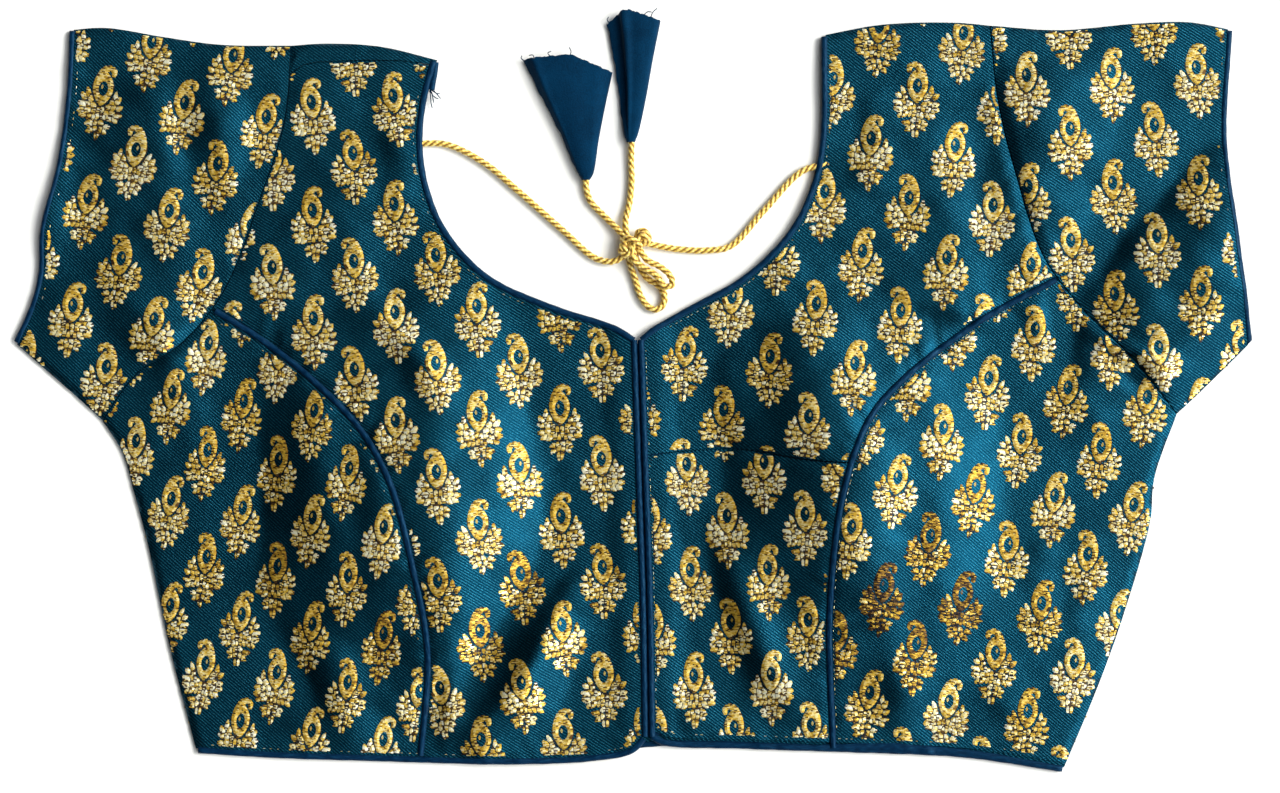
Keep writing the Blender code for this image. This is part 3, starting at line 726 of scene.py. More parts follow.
# %% The upper cloth's height
LOWEST_TOP = 2.5
STRIP_TOP = 3.5
FIRM_RISE = 11.0
rise = (broad_rise + crease_total) * part_settled + seam_rise + waves
rise = np.where(rise < 0.6, 0.6 * np.exp((rise - 0.6) / 0.6), rise)
too_high = np.maximum(rise - FIRM_RISE, 0)
spare = MOST_RISE - FIRM_RISE
rise = np.minimum(rise, FIRM_RISE) + spare * (1 - np.exp(-too_high / spare))
rise = rise * settled
near_opening = eased((20 - seams["opening"][0]) / 12)
rise = np.maximum(rise, (STRIP_TOP - LOWEST_TOP) * near_opening)
ROLL = 2.2
rolled = 1.45 * np.clip(1 - nearest(FOLDED) / ROLL, 0, 1) ** 2
cloth_height = LOWEST_TOP + rise - rolled
print("upper cloth's top, mm:", round(float(cloth_height.min()), 2), "to",
      round(float(cloth_height.max()), 2))


def upper_top(x, y):
    """The upper cloth's height at any place, read between the map's points."""
    u = np.clip((np.asarray(x) - grid_x[0]) / HIGH_STEP, 0, len(grid_x) - 1.001)
    v = np.clip((np.asarray(y) - grid_y[0]) / HIGH_STEP, 0, len(grid_y) - 1.001)
    i, j = u.astype(int), v.astype(int)
    s, t = u - i, v - j
    return ((cloth_height[j, i] * (1 - s) + cloth_height[j, i + 1] * s) * (1 - t)
            + (cloth_height[j + 1, i] * (1 - s) + cloth_height[j + 1, i + 1] * s) * t)


def under_upper(x, y):
    return upper_top(x, y) - CLOTH


# %% Height of the lower layer, which lies flat on the table
LOWER_CLOTH = 1.0


def lower_top(x, _y):
    return np.full(np.shape(x), LOWER_CLOTH)


def on_table(x, _y):
    return np.zeros(np.shape(x))


# %% [markdown]
# ## Brocade
# The ground is a warp-faced satin: fine diagonal twill lines over a deep peacock teal, the lightest of
# them a painted sheen. The lines turn with each panel's grain.

# %% Brocade ground finish
TWILL_PITCH = 1.15
TWILL_ANGLE = -55
BROCADE, tree = new_finish("peacock_brocade", {"Metallic": 0.96, "Roughness": 0.37,
                                               "Specular IOR Level": 0.3})
grain = map_of(tree, "grain")
swayed = mixed(tree, "ADD", 0.5, grain, noise(tree, grain, 0.16, output="Color"))
turned = mapped(tree, swayed, Rotation=(0, 0, math.radians(TWILL_ANGLE)))
twill = add_node(tree, "ShaderNodeTexWave", {"Vector": turned, "Scale": math.pi / (10 * TWILL_PITCH),
                                            "Distortion": 0.0}).outputs["Fac"]
threads = noise(tree, mapped(tree, grain, Scale=(1.3, 2.4, 1.0)), 1.0, 4.0, Roughness=0.75)
broken = number(tree, "MULTIPLY", twill, ranged(tree, threads, 0.32, 0.66))
# The twill lines are a woven pattern, and their brightest, whitish stop is a painted sheen
ground = ramp_of(tree, broken, [(0.0, (0.0001, 0.021, 0.041)), (0.30, (0.0003, 0.030, 0.057)),
                                (0.80, (0.015, 0.120, 0.182))])
depth = ranged(tree, noise(tree, grain, 0.035, 3.0), 0.3, 0.7, 0.8, 1.15)
dress(tree, mixed(tree, "MULTIPLY", 1.0, ground, depth), broken, 0.42, 0.0002)

# %% [markdown]
# ## The panels
# Each panel is its paper pattern, filled with even triangles up to its exact edge, laid on the height
# map and given the cloth's thickness.

# %% Cut a panel: its outline filled with triangles
CLOTH_STEP = 2.3


def inside(points, loop):
    """Which points are inside the loop, by counting crossings."""
    found = np.zeros(len(points), bool)
    for (x0, y0), (x1, y1) in zip(loop, np.roll(loop, -1, axis=0)):
        if y0 == y1:
            continue
        spans = (points[:, 1] > y0) != (points[:, 1] > y1)
        cut = x0 + (points[:, 1] - y0) * (x1 - x0) / (y1 - y0)
        found ^= spans & (points[:, 0] < cut)
    return found


def distance_to(points, loop):
    """How far each point is from the loop."""
    least = np.full(len(points), np.inf)
    for start, finish in zip(loop, np.roll(loop, -1, axis=0)):
        step = finish - start
        place = np.clip(((points - start) @ step) / (step @ step + 1e-12), 0, 1)
        least = np.minimum(least, np.linalg.norm(points - start - place[:, None] * step, axis=1))
    return least


def fill(loop, step=CLOTH_STEP):
    """(plan points, triangles): the loop first, then even points inside it."""
    low, high = loop.min(axis=0), loop.max(axis=0)
    field = []
    for i, y in enumerate(np.arange(low[1], high[1], step * 0.866)):
        row = np.arange(low[0] + (i % 2) * step / 2, high[0], step)
        field.append(np.column_stack([row, np.full(len(row), y)]))
    field = np.vstack(field)
    field = field[inside(field, loop)]
    field = field[distance_to(field, loop) > step * 0.55]
    everything = [Vector(place) for place in np.vstack([loop, field]).tolist()]
    result = delaunay_2d_cdt(everything, [], [list(range(len(loop)))], 1, 1e-6)
    points = np.array([tuple(place) for place in result[0]])
    triangles = np.array(result[2])
    a, b, c = (points[triangles[:, k]] for k in range(3))
    area = cross(b - a, c - a)
    triangles[area < 0] = triangles[area < 0][:, ::-1]
    return points, triangles[np.abs(area) > 1e-6]


def rim_of(triangles):
    """The border's edges, each in its triangle's own direction."""
    ends = np.concatenate([triangles[:, [0, 1]], triangles[:, [1, 2]], triangles[:, [2, 0]]])
    keys = np.sort(ends, axis=1)
    _, index, counts = np.unique(keys, axis=0, return_inverse=True, return_counts=True)
    return ends[counts[index.ravel()] == 1]


# %% Sew layers into shells: top, underside and a rim between them
def shell_parts(loop, top, underside, step=CLOTH_STEP):
    """(points, groups of faces) of a closed thin shell over the loop, between two heights."""
    plan, triangles = fill(loop, step)
    points = np.vstack([np.column_stack([plan, height(*plan.T)]) for height in (top, underside)])
    rim = rim_of(triangles)
    count = len(plan)
    walls = np.column_stack([rim[:, 0], rim[:, 0] + count, rim[:, 1] + count, rim[:, 1]])
    return points, [triangles, triangles[:, ::-1] + count, walls]


def plan_area(loop):
    x, y = loop.T
    return abs(np.dot(x, np.roll(y, -1)) - np.dot(y, np.roll(x, -1))) / 2


panels = {}
outlines = {}


def sew(name, grain_angle, parts):
    """A panel's mesh from its shells, with the map of its grain."""
    faces, used = [], 0
    for part_points, groups in parts:
        faces += [face for group in groups for face in (group + used).tolist()]
        used += len(part_points)
    points = np.vstack([part_points for part_points, _ in parts])
    panels[name] = add_piece(name + "_cloth", points, faces, BROCADE)
    turn = math.radians(grain_angle)
    u = points[:, 0] * math.cos(turn) + points[:, 1] * math.sin(turn)
    v = points[:, 1] * math.cos(turn) - points[:, 0] * math.sin(turn)
    add_map(panels[name], "grain", np.column_stack([u, v]))
    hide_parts(name)
    print(name, "area, cm2:", round(plan_area(outlines[name]) / 100), "faces:", len(faces))


# %% [markdown]
# The front is five panels. The grain angle is how far each one's rows of sprays tilt.

# %% Front panels
BOUND = BINDING + GAP
SEAM = GAP
JOINT = BINDING / 2 + GAP
OPENING = BINDING + GAP * 1.5
HEM_DEEP = 5.5
# Columns: node, grain angle, sides as (edge, inset)
FRONTS = {
    "front_side_left": (-6, [("side_left", 0), ("hem_left", BOUND),
                             ("-princess_left", JOINT), ("armhole_left", SEAM)]),
    "front_centre_left": (3, [("princess_left", JOINT), ("hem_left", BOUND),
                              ("-opening", OPENING), ("neck_left", BOUND),
                              ("shoulder_seam_left", SEAM), ("armhole_left", SEAM)]),
    "front_centre_right_upper": (-2, [("opening", OPENING), ("pieced_seam", SEAM),
                                      ("-princess_right", JOINT), ("armhole_right", SEAM),
                                      ("shoulder_right", 0), ("neck_right", BOUND)]),
    "front_centre_right_lower": (-2, [("opening", OPENING), ("hem_right", HEM_DEEP),
                                      ("-princess_right", JOINT), ("-pieced_seam", SEAM)]),
    "front_side_right": (-5, [("princess_right", JOINT), ("hem_right", HEM_DEEP),
                              ("side_right", 0), ("armhole_right", SEAM)]),
}
TUCKED = 1.1
CLOSED = 0.02


def tucked(sides, seam=SEAM):
    """The same sides, each run on under its binding, so that no gap shows between the two."""
    return [(name, inset - TUCKED if inset > SEAM else min(inset, seam)) for name, inset in sides]


for name, (grain_angle, sides) in FRONTS.items():
    outlines[name] = outline(sides)
    sew(name, grain_angle, [shell_parts(outline(tucked(sides)), upper_top, under_upper)])

# %% [markdown]
# Each sleeve is a tube pressed flat: an upper layer on the height map and a lower one on the table.

# %% Sleeves
SLEEVES = {
    "sleeve_left": (-9, [("sleeve_top_left", 0), ("-cuff_left", BOUND),
                         ("-under_left", 0), ("-armhole_left", SEAM)]),
    "sleeve_right": (2, [("-armhole_right", SEAM), ("-under_right", 0),
                         ("-cuff_right", BOUND), ("sleeve_top_right", 0)]),
}
LOWER_STEP = 4.0
for name, (grain_angle, sides) in SLEEVES.items():
    outlines[name] = outline(sides)
    sew(name, grain_angle, [shell_parts(outline(tucked(sides)), upper_top, under_upper),
                            shell_parts(outline(tucked(sides, CLOSED)), lower_top, on_table, LOWER_STEP)])

# %% [markdown]
# The back lies flat under everything. Over the left shoulder it turns on to the front, down to the
# shoulder seam.

# %% Back, with the strip that turns over the left shoulder
BACK_SIDES = [("side_left", 0), ("back_hem", BOUND), ("side_right", 0),
              ("armhole_right", SEAM), ("shoulder_right", 0),
              ("back_neck", BOUND), ("shoulder_left", 0), ("armhole_left", SEAM)]
outlines["back"] = outline(BACK_SIDES)
seam_line = edge("shoulder_seam_left")
fold_line = edge("shoulder_left")
upper_seam = seam_line - normals_of(seam_line) * GAP / 2 * np.sign(normals_of(seam_line)[:, 1:] * -1)
outlines["shoulder_turn"] = np.vstack([fold_line, upper_seam[::-1]])
sew("back", 0, [shell_parts(outline(tucked(BACK_SIDES, CLOSED)), lower_top, on_table, LOWER_STEP),
                shell_parts(outlines["shoulder_turn"], upper_top, under_upper)])

# %% [markdown]
# ## The woven sprays
# Each spray is a paisley with a curled tip over leaves, brocaded in flat gold thread: rows of short
# floats, each a little ridge of its own. The chart is drawn by rule from a few sizes.

# %% Chart of one spray, in millimetres from the middle of the paisley's eye
# Middle of the paisley's body, from its lower point round to the curl. Columns: x, y, half width
TEARDROP = [(0.2, -7.6, 0.4), (0.1, -6.0, 1.5), (0.1, -4.4, 2.7), (0.1, -1.8, 4.0), (0.1, 0.4, 4.6),
            (0.4, 3.0, 4.0), (0.9, 5.4, 2.7), (1.0, 7.1, 1.9), (0.2, 8.6, 1.5), (-1.5, 9.3, 1.3),
            (-3.1, 9.0, 1.2), (-4.1, 7.9, 1.1), (-3.9, 6.7, 1.1)]
EYE = (2.1, 3.3)
# The fleck in the eye: x, y, half width, half height
FLECK = (0.6, 0.7, 0.45, 1.1)
# The petals fan out like leaves: a fan on each side and one at the tip
# Columns: x, y, heading of the leaf's tip from straight down, half length, half width
PETALS = [(6.5, -2.5, 170, 2.3, 1.0), (4.9, -5.2, 158, 1.9, 1.15), (8.1, -4.9, 138, 1.9, 1.25),
          (8.5, -7.9, 102, 2.0, 1.3), (8.3, -10.7, 84, 2.0, 1.3), (7.4, -13.2, 58, 1.9, 1.2),
          (6.0, -7.7, 112, 1.7, 1.25), (5.7, -10.6, 80, 1.8, 1.25), (4.8, -13.1, 38, 1.8, 1.2),
          (3.6, -7.9, 132, 1.6, 1.15), (3.1, -10.4, 55, 1.7, 1.2), (2.4, -12.9, 30, 1.7, 1.15),
          (1.1, -9.9, 18, 1.6, 1.05), (0.9, -12.6, 8, 1.6, 1.0), (4.0, -16.7, 74, 1.9, 1.2),
          (3.2, -19.2, 48, 1.8, 1.15), (1.5, -15.9, 60, 1.5, 1.1), (1.4, -18.4, 24, 1.7, 1.1),
          (0.5, -21.3, 6, 1.9, 0.95)]
CHART_STEP = 0.25
PETAL_SIZES = (0.84, 1.18)
PETAL_TURN = 13
PETAL_DRIFT = 0.26
SILK, BODY, IN_EYE, PETAL = 1, 2, 3, 4


def spray_chart(row_step, generator):
    """(x, y, label, swell, petal tones): what shows in each cell, and how far it stands up."""
    x, y = np.meshgrid(np.arange(-11, 11, CHART_STEP), np.arange(-24, 12, row_step))
    body = np.full(x.shape, -np.inf)
    for spot_x, spot_y, half in smooth_curve(TEARDROP, 0.35):
        body = np.maximum(body, half - np.hypot(x - spot_x, y - spot_y))
    from_eye = (np.hypot(x / EYE[0], y / EYE[1]) - 1) * EYE[0]
    depths = []
    for side in (-1, 1):
        for spot_x, spot_y, heading, long_half, wide_half in PETALS:
            size = generator.uniform(*PETAL_SIZES)
            angle = math.radians(heading + generator.normal(0, PETAL_TURN))
            tip_x, tip_y = side * math.sin(angle), -math.cos(angle)
            from_x = x - side * spot_x - generator.normal(0, PETAL_DRIFT)
            from_y = y - spot_y - generator.normal(0, PETAL_DRIFT)
            u = (from_x * tip_x + from_y * tip_y) / (long_half * size)
            v = (from_y * tip_x - from_x * tip_y) / (wide_half * size * (1 - 0.3 * np.clip(u, -1, 1)))
            depths.append(wide_half * (1 - np.hypot(u, v)))
    owner = np.argmax(depths, axis=0)
    ranked = np.sort(depths, axis=0)
    petals, second = ranked[-1], ranked[-2]
    is_petal = (petals > 0.02) & (petals - second > 0.25) & (body < -0.25)
    is_body = (body > 0) & (from_eye > 0)
    label = np.where((petals > -0.35) & (second > -0.8) | ((body > -0.35) & (y < 3)), SILK, 0)
    label = np.where(is_petal, PETAL + owner, label)
    label = np.where(body > 0, 0, label)
    label = np.where(is_body, BODY, label)
    in_fleck = np.hypot((x - FLECK[0]) / FLECK[2], (y - FLECK[1]) / FLECK[3]) < 1
    label = np.where(in_fleck, IN_EYE, label)
    swell = np.where(label >= PETAL, np.clip(petals / 1.3, 0, 1), 0)
    swell = np.where(label == BODY, np.clip(np.minimum(body, from_eye) / 1.3, 0, 1), swell)
    return x, y, label, np.sqrt(swell), generator.uniform(0.52, 0.97, len(depths))


# %% Cut each row of the chart into floats
def spray_floats(row_step, float_length, generator, with_silk=True):
    """Floats of one spray. Columns: first x, last x, y, tone, swell at the first end and the last."""
    x, y, label, swell, petal_tones = spray_chart(row_step, generator)
    if not with_silk:
        label = np.where(label == SILK, 0, np.minimum(label, PETAL))
    floats = []
    for i in range(label.shape[0]):
        breaks = np.flatnonzero(np.diff(label[i])) + 1
        for start, end in zip(np.concatenate([[0], breaks]), np.concatenate([breaks, [label.shape[1]]])):
            kind = label[i, start]
            if kind == 0:
                continue
            first, last = x[i, start] - CHART_STEP / 2, x[i, end - 1] + CHART_STEP / 2
            pieces = max(1, round((last - first) / float_length))
            cuts = np.linspace(first, last, pieces + 1)
            cuts[1:-1] += generator.uniform(-0.25, 0.25, pieces - 1)
            for left, right in zip(cuts[:-1], cuts[1:]):
                columns = np.clip(np.round((np.array([left + 0.12, right - 0.12]) - x[0, 0]) / CHART_STEP),
                                  0, label.shape[1] - 1).astype(int)
                lift = swell[i, columns]
                chance = generator.uniform()
                if kind == SILK:
                    tone = 0.10 * chance
                elif kind == BODY:
                    # A body float that lies low at the body's edge gets painted shade: its tone drops
                    tone = (0.28 + 0.52 * chance - 0.14 * (lift.mean() < 0.4)) if chance > 0.12 else 0.14
                elif kind == IN_EYE:
                    tone = 0.6
                else:
                    # A petal float that lies low at the petal's edge gets painted shade: its tone drops
                    tone = petal_tones[kind - PETAL] + 0.66 * (chance - 0.5) - 0.18 * (lift.mean() < 0.5)
                    tone = tone if chance > 0.13 else 0.10
                floats.append((left, right, y[i, 0], tone, *lift))
    return np.array(floats)


FINE = {"row": 0.5, "length": 1.1}
COARSE = {"row": 0.85, "length": 2.4}
fine_sprays = [spray_floats(FINE["row"], FINE["length"], dice) for _ in range(5)]
coarse_sprays = [spray_floats(COARSE["row"], COARSE["length"], dice, False) for _ in range(3)]
print("floats in a spray:", [len(one) for one in fine_sprays], [len(one) for one in coarse_sprays])


# %% [markdown]
# Gold thread is flat tinsel round a silk core. Its tone wanders from pale straw to amber and brown, partly
# at random and partly as painted shade at low edges and where the gold faces away from the window.

# %% Gold thread finish
GOLD_THREAD, tree = new_finish("gold_thread", {"Metallic": 0.65, "Roughness": 0.32})
gold = ramp_of(tree, value_of(tree, "tone"),
               [(0.0, (0.022, 0.011, 0.008)), (0.18, (0.16, 0.080, 0.02)), (0.34, (0.50, 0.29, 0.030)),
                (0.55, (0.82, 0.56, 0.07)), (0.8, (0.98, 0.86, 0.44)), (1.0, (1.0, 0.98, 0.78))])
dress(tree, gold, noise(tree, place_of(tree), 2600.0), 0.35, 0.0002)

# %% [markdown]
# The sprays stand in a half-drop lattice: each row is shifted by half a column and faces the other
# way. Each panel was cut on its own grain, so it has its own lattice.

# %% Lattices of the sprays
# Columns: panel, first place, step along the row, step to the next row, mirror of the first row
LATTICES = {
    "sleeve_left": ((-237.9, 138.6), (36.6, -6.3), (14.9, -27.5), -1),
    "front_centre_left": ((-69.6, -7.6), (36.7, 2.8), (18.6, -22.9), -1),
    "front_side_left": ((-175.3, -49.7), (32.1, -4.1), (15.8, -26.0), -1),
    "front_centre_right_upper": ((103.1, 65.7), (37.8, -3.1), (17.0, -26.8), -1),
    "front_centre_right_lower": ((42.2, -53.3), (34.6, 1.1), (18.1, -23.2), 1),
    "sleeve_right": ((215.4, 96.4), (38.2, 1.8), (19.4, -24.1), -1),
    "front_side_right": ((153.8, -39.9), (35.6, -4.2), (14.8, -26.3), -1),
}


def spray_places(lattice, loop, margin=24.0):
    """Places whose spray may reach into the loop. Columns: x, y, mirror, tilt."""
    first, along, down, mirror = lattice
    tilt = math.atan2(along[1], along[0])
    places = np.array([(first[0] + along[0] * column + down[0] * row,
                        first[1] + along[1] * column + down[1] * row,
                        mirror if row % 2 == 0 else -mirror, tilt)
                       for row in range(-14, 15) for column in range(-16, 17)])
    return places[inside(places[:, :2], loop) | (distance_to(places[:, :2], loop) < margin)]


# %% Places where the gold looks away from the window: painted shade turns it brown there
# Columns: x, y, reach, loss of tone to painted shade
PAINTED_SHADE_SPOTS = [(112, -86, 26, 0.30), (148, -89, 26, 0.32), (-113, -106, 20, 0.30), (-66, -105, 24, 0.30),
        (120, -112, 24, 0.22), (-42, -86, 18, 0.22), (-165, -28, 24, 0.20), (-156, -78, 24, 0.18)]


# Painted shade: how much tone the gold loses at a place
def painted_shade_at(x, y):
    return sum(loss * np.exp(-((x - spot_x) ** 2 + (y - spot_y) ** 2) / reach**2)
               for spot_x, spot_y, reach, loss in PAINTED_SHADE_SPOTS)


# %% Lay the floats on a panel
FLOAT_RIDGE = 0.12
FLOAT_SWELL = 0.30
FLOAT_SINK = 0.05
FLOAT_MARGIN = 0.7


def laid_floats(places, loop, sprays, squeeze=1.0):
    """The floats that fall inside a panel. Columns: first x, y, last x, y, tone, lean, two swells."""
    everything = []
    for x, y, mirror, tilt in places:
        spray = sprays[int(dice.integers(len(sprays)))]
        lean = tilt + dice.normal(0, 0.02)
        # Each spray's tone shifts a little at random, and drops where painted shade is laid
        tone_shift_and_shade = dice.normal(0, 0.05) - float(painted_shade_at(x, y - 4))
        first = np.column_stack([spray[:, 0] * squeeze * mirror, spray[:, 2]])
        last = np.column_stack([spray[:, 1] * squeeze * mirror, spray[:, 2]])
        turn = np.array([[math.cos(lean), math.sin(lean)], [-math.sin(lean), math.cos(lean)]])
        first, last = first @ turn + (x, y), last @ turn + (x, y)
        middle = (first + last) / 2
        keep = inside(middle, loop)
        keep[keep] = distance_to(middle[keep], loop) > FLOAT_MARGIN
        rows = np.column_stack([first, last, np.clip(spray[:, 3] + tone_shift_and_shade, 0.0, 1.0),
                                np.full(len(spray), lean), spray[:, 4:6]])
        everything.append(rows[keep])
    return np.vstack(everything)


def float_mesh(name, rows, width, top, facing=1, relief=1.0):
    """A roof-shaped ridge for each float. Columns of rows: as laid_floats gives them."""
    first, last = rows[:, 0:2], rows[:, 2:4]
    side = np.column_stack([-np.sin(rows[:, 5]), np.cos(rows[:, 5])]) * width / 2
    shift = side * dice.uniform(-0.35, 0.35, len(rows))[:, None]
    plan = np.stack([first - side, first + shift, first + side, last - side, last + shift, last + side],
                    axis=1)
    base = top(plan[..., 0], plan[..., 1])
    ridge = np.tile([-FLOAT_SINK, FLOAT_RIDGE, -FLOAT_SINK], 2)
    swell = np.repeat(rows[:, 6:8], 3, axis=1) * FLOAT_SWELL
    points = raised(plan, base + (ridge[None, :] + swell) * facing * relief).reshape(-1, 3)
    start = np.arange(len(rows))[:, None] * 6
    near, far = start + np.array([0, 3, 4, 1]), start + np.array([1, 4, 5, 2])
    faces = np.concatenate([near, far])[:, ::facing]
    made = add_piece(name, points, faces.tolist(), GOLD_THREAD, smooth=False)
    add_value(made, "tone", np.tile(rows[:, 4], 2), "FACE")
    low, high = plan.reshape(-1, 2).min(axis=0), plan.reshape(-1, 2).max(axis=0)
    add_map(made, "OFBake", (plan.reshape(-1, 2) - low) / (high - low).max())
    return made


# %% Weave the sprays of each front panel and sleeve
for name, lattice in LATTICES.items():
    places = spray_places(lattice, outlines[name])
    squeeze = min(1.0, math.hypot(*lattice[1]) / 36.5)
    rows = laid_floats(places, outlines[name], fine_sprays, squeeze)
    float_mesh(name + "_sprays", rows, FINE["row"], upper_top)
    print(name, "sprays:", len(places), "floats:", len(rows))

# %% [markdown]
# The undersides of the back and the sleeves carry the sprays too, woven coarser as they face the table.

# %% Sprays on the undersides
UNDERSIDES = {"sleeve_left": LATTICES["sleeve_left"], "sleeve_right": LATTICES["sleeve_right"],
              "back": ((4.0, -60.0), (36.6, 0.0), (18.3, -27.0), 1)}
for name, lattice in UNDERSIDES.items():
    rows = laid_floats(spray_places(lattice, outlines[name]), outlines[name], coarse_sprays)
    float_mesh(name + "_under_sprays", rows, COARSE["row"], on_table, -1, 0.25)
    print(name, "floats underneath:", len(rows))

# %% [markdown]
# ## Satin piping
# Each raw edge and each princess seam is covered by a narrow bias strip of navy satin, a soft
# half-round that stands a little above the cloth. Slanting drag lines show where it is pulled, as a bump
# and as lighter streaks of painted sheen.

# %% Navy satin finish: slanting drag streaks, the lighter ones a painted sheen
NAVY_SATIN, tree = new_finish("navy_satin_binding", {"Metallic": 0.1, "Roughness": 0.4,
                                                     "Specular IOR Level": 0.2,
                                                     "Specular Tint": (0.25, 0.68, 1.0, 1)})
slanted = mapped(tree, map_of(tree, "grain"), Rotation=(0, 0, 0.7), Scale=(0.28, 1.6, 1.0))
drag_and_sheen = noise(tree, slanted, 1.0, 4.0)
# Painted sheen: the streaks run from dark navy up to a lighter highlight blue
tint = ramp_of(tree, drag_and_sheen, [(0.3, (0.0004, 0.008, 0.027)), (0.55, (0.0010, 0.017, 0.050)),
                            (0.8, (0.004, 0.042, 0.092))])
dress(tree, tint, drag_and_sheen, 0.6, 0.0005)


# %% A strip along a seam, with a half-round section
PIPE_STEP = 1.3
PIPE_AROUND = 10


def trimmed(seam, start, end):
    """(curve, normals, places) of a seam without its first and last stretch."""
    curve = edge(seam, 1.0)
    along = lengths_along(curve)
    places = np.linspace(start, along[-1] - end, max(3, round((along[-1] - start - end) / PIPE_STEP)))
    return read_at(curve, along, places), read_at(normals_of(curve), along, places), places


def bind(name, seam, inner, outer, top, low, rise, start, end, widths=None, mitre=0.0):
    """A satin strip between two distances to the left of the seam. low is its underside."""
    curve, normals, places = trimmed(seam, start, end)
    middle = np.full(len(places), (inner + outer) / 2)
    half = np.full(len(places), (outer - inner) / 2)
    if widths is not None:
        half = np.interp(places, *zip(*widths)) / 2
        middle = half.copy()
    half = half * (1 + 0.05 * wandering(places, 9.0))
    angle = round_angles(PIPE_AROUND)
    spread = np.sign(np.cos(angle)) * np.abs(np.cos(angle)) ** 0.75
    plan = curve[:, None, :] + normals[:, None, :] * (middle[:, None] + half[:, None] * spread)[..., None]
    reach = (middle[0] + half[0] * spread) * mitre
    plan[0] -= reach[:, None] * (normals[0, 1], -normals[0, 0])
    base = top(plan[..., 0], plan[..., 1])
    crown = np.maximum(np.sin(angle), 0) ** 0.8
    floor_height = low(plan[..., 0], plan[..., 1])
    puffed = rise * (1 + 0.12 * wandering(places, 7.0))[:, None]
    edge_height = (base + floor_height) / 2
    over = edge_height + (base - edge_height + puffed) * crown
    under = edge_height + (edge_height - floor_height) * np.minimum(np.sin(angle), 0)
    points = raised(plan, np.where(np.sin(angle) >= 0, over, under)).reshape(-1, 3)
    made = add_piece(name + "_satin", points, tube_faces(len(places), PIPE_AROUND), NAVY_SATIN)
    along_and_round = np.stack(np.broadcast_arrays(places[:, None], angle[None, :] * 1.2), -1)
    add_map(made, "grain", along_and_round.reshape(-1, 2))
    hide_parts(name)


# %% All the bindings
HALF = BINDING / 2
for side in ("left", "right"):
    bind(f"piping_princess_{side}", f"princess_{side}", -HALF, HALF, upper_top, under_upper, 1.3,
         0.5, 1.4)
    bind(f"piping_cuff_{side}", f"-cuff_{side}", 0, BINDING, upper_top, on_table, 0.5, 0.3, 0.3,
         mitre=0.75 if side == "right" else 0.0)
bind("piping_neck_left", "neck_left", 0, BINDING, upper_top, under_upper, 0.8, 0.4, 1)
bind("piping_neck_right", "neck_right", 0, BINDING, upper_top, under_upper, 0.8, 0.5, 0.4)
bind("piping_opening_left", "-opening", 0.15, 0.15 + BINDING, upper_top, under_upper, 1.0, 1.6, 0.3)
bind("piping_opening_right", "opening", 0.15, 0.15 + BINDING, upper_top, under_upper, 1.0, 0.3, 1.6)
bind("piping_hem_left", "hem_left", 0, BINDING, upper_top, under_upper, 0.7, 0.5, 1)
bind("piping_hem_right", "hem_right", 0, BINDING, upper_top, under_upper, 0.5, 0.5, 0.2,
     widths=[(0, 2.9), (75, 2.9), (95, 4.4), (110, 5.2), (130, 4.2), (165, 3.2), (195, 2.7)])
bind("piping_neck_back", "back_neck", 0, BINDING, lower_top, on_table, 0.2, 1, 13)
bind("piping_hem_back", "back_hem", 0, BINDING, lower_top, on_table, 0.2, 0.5, 0.5)

# %% [markdown]
# The back's binding ends at the left corner of the neck, where its cut end peeks out.

# %% The cut end of the back's binding
# Columns: x, y
CUT_END = [(-88.7, 150.6), (-89.2, 146.0), (-90.0, 141.5), (-90.5, 138.2)]
CUT_END_HALF = 1.4
curve = smooth_curve(CUT_END, PIPE_STEP)
angle = round_angles(PIPE_AROUND)
plan = curve[:, None, :] + normals_of(curve)[:, None, :] * (CUT_END_HALF * np.cos(angle))[..., None]
points = raised(plan, 1.5 + 1.0 * np.sin(angle)).reshape(-1, 3)
neck_corner = add_piece("neck_corner_satin", points, tube_faces(len(curve), PIPE_AROUND), NAVY_SATIN)
add_map(neck_corner, "grain", points[:, :2])

# %% [markdown]
# A running stitch in pale gold holds the inner edge of each binding, short and uneven, and partly sunk.

# %% Running stitches beside the bindings
# Columns: seam, distance to the left of its run, spacing, share that is sunk
STITCH_ROWS = [("princess_left", -HALF - 2.2, 7.5, 0.4),
               ("princess_right", HALF + 0.4, 2.2, 0.35),
               ("neck_left", BINDING + 1.2, 2.9, 0.5), ("neck_right", BINDING + 1.0, 2.7, 0.4),
               ("-cuff_left", BINDING + 1.6, 3.1, 0.55), ("-cuff_right", BINDING + 1.0, 3.0, 0.55),
               ("opening", OPENING + 0.2, 2.3, 0.3), ("hem_left", BINDING + 1.2, 3.3, 0.6),
               ("hem_right", HEM_DEEP + 0.6, 3.1, 0.5)]
STITCH_LENGTH = 1.0
STITCH_WIDTH = 0.26


def stitch_row(seam, offset, spacing, sunk):
    """Stitches along one seam, with the same columns as laid_floats."""
    curve, normals, _ = trimmed(seam, 5, 5)
    line = curve + normals * offset
    along = lengths_along(line)
    starts = np.arange(0, along[-1] - 2 * spacing, spacing)
    starts = starts + dice.uniform(0, 0.5 * spacing, len(starts))
    starts = starts[dice.uniform(size=len(starts)) > sunk]
    ends = starts + STITCH_LENGTH * dice.uniform(0.55, 1.25, len(starts))
    first, last = (read_at(line, along, places) for places in (starts, ends))
    lean = np.arctan2(*(last - first).T[::-1])
    swells = np.full((len(starts), 2), 0.2)
    return np.column_stack([first, last, dice.uniform(0.55, 1.0, len(starts)), lean, swells])


stitches = np.vstack([stitch_row(*row) for row in STITCH_ROWS])
float_mesh("running_stitches", stitches, STITCH_WIDTH, upper_top)
print("stitches:", len(stitches))

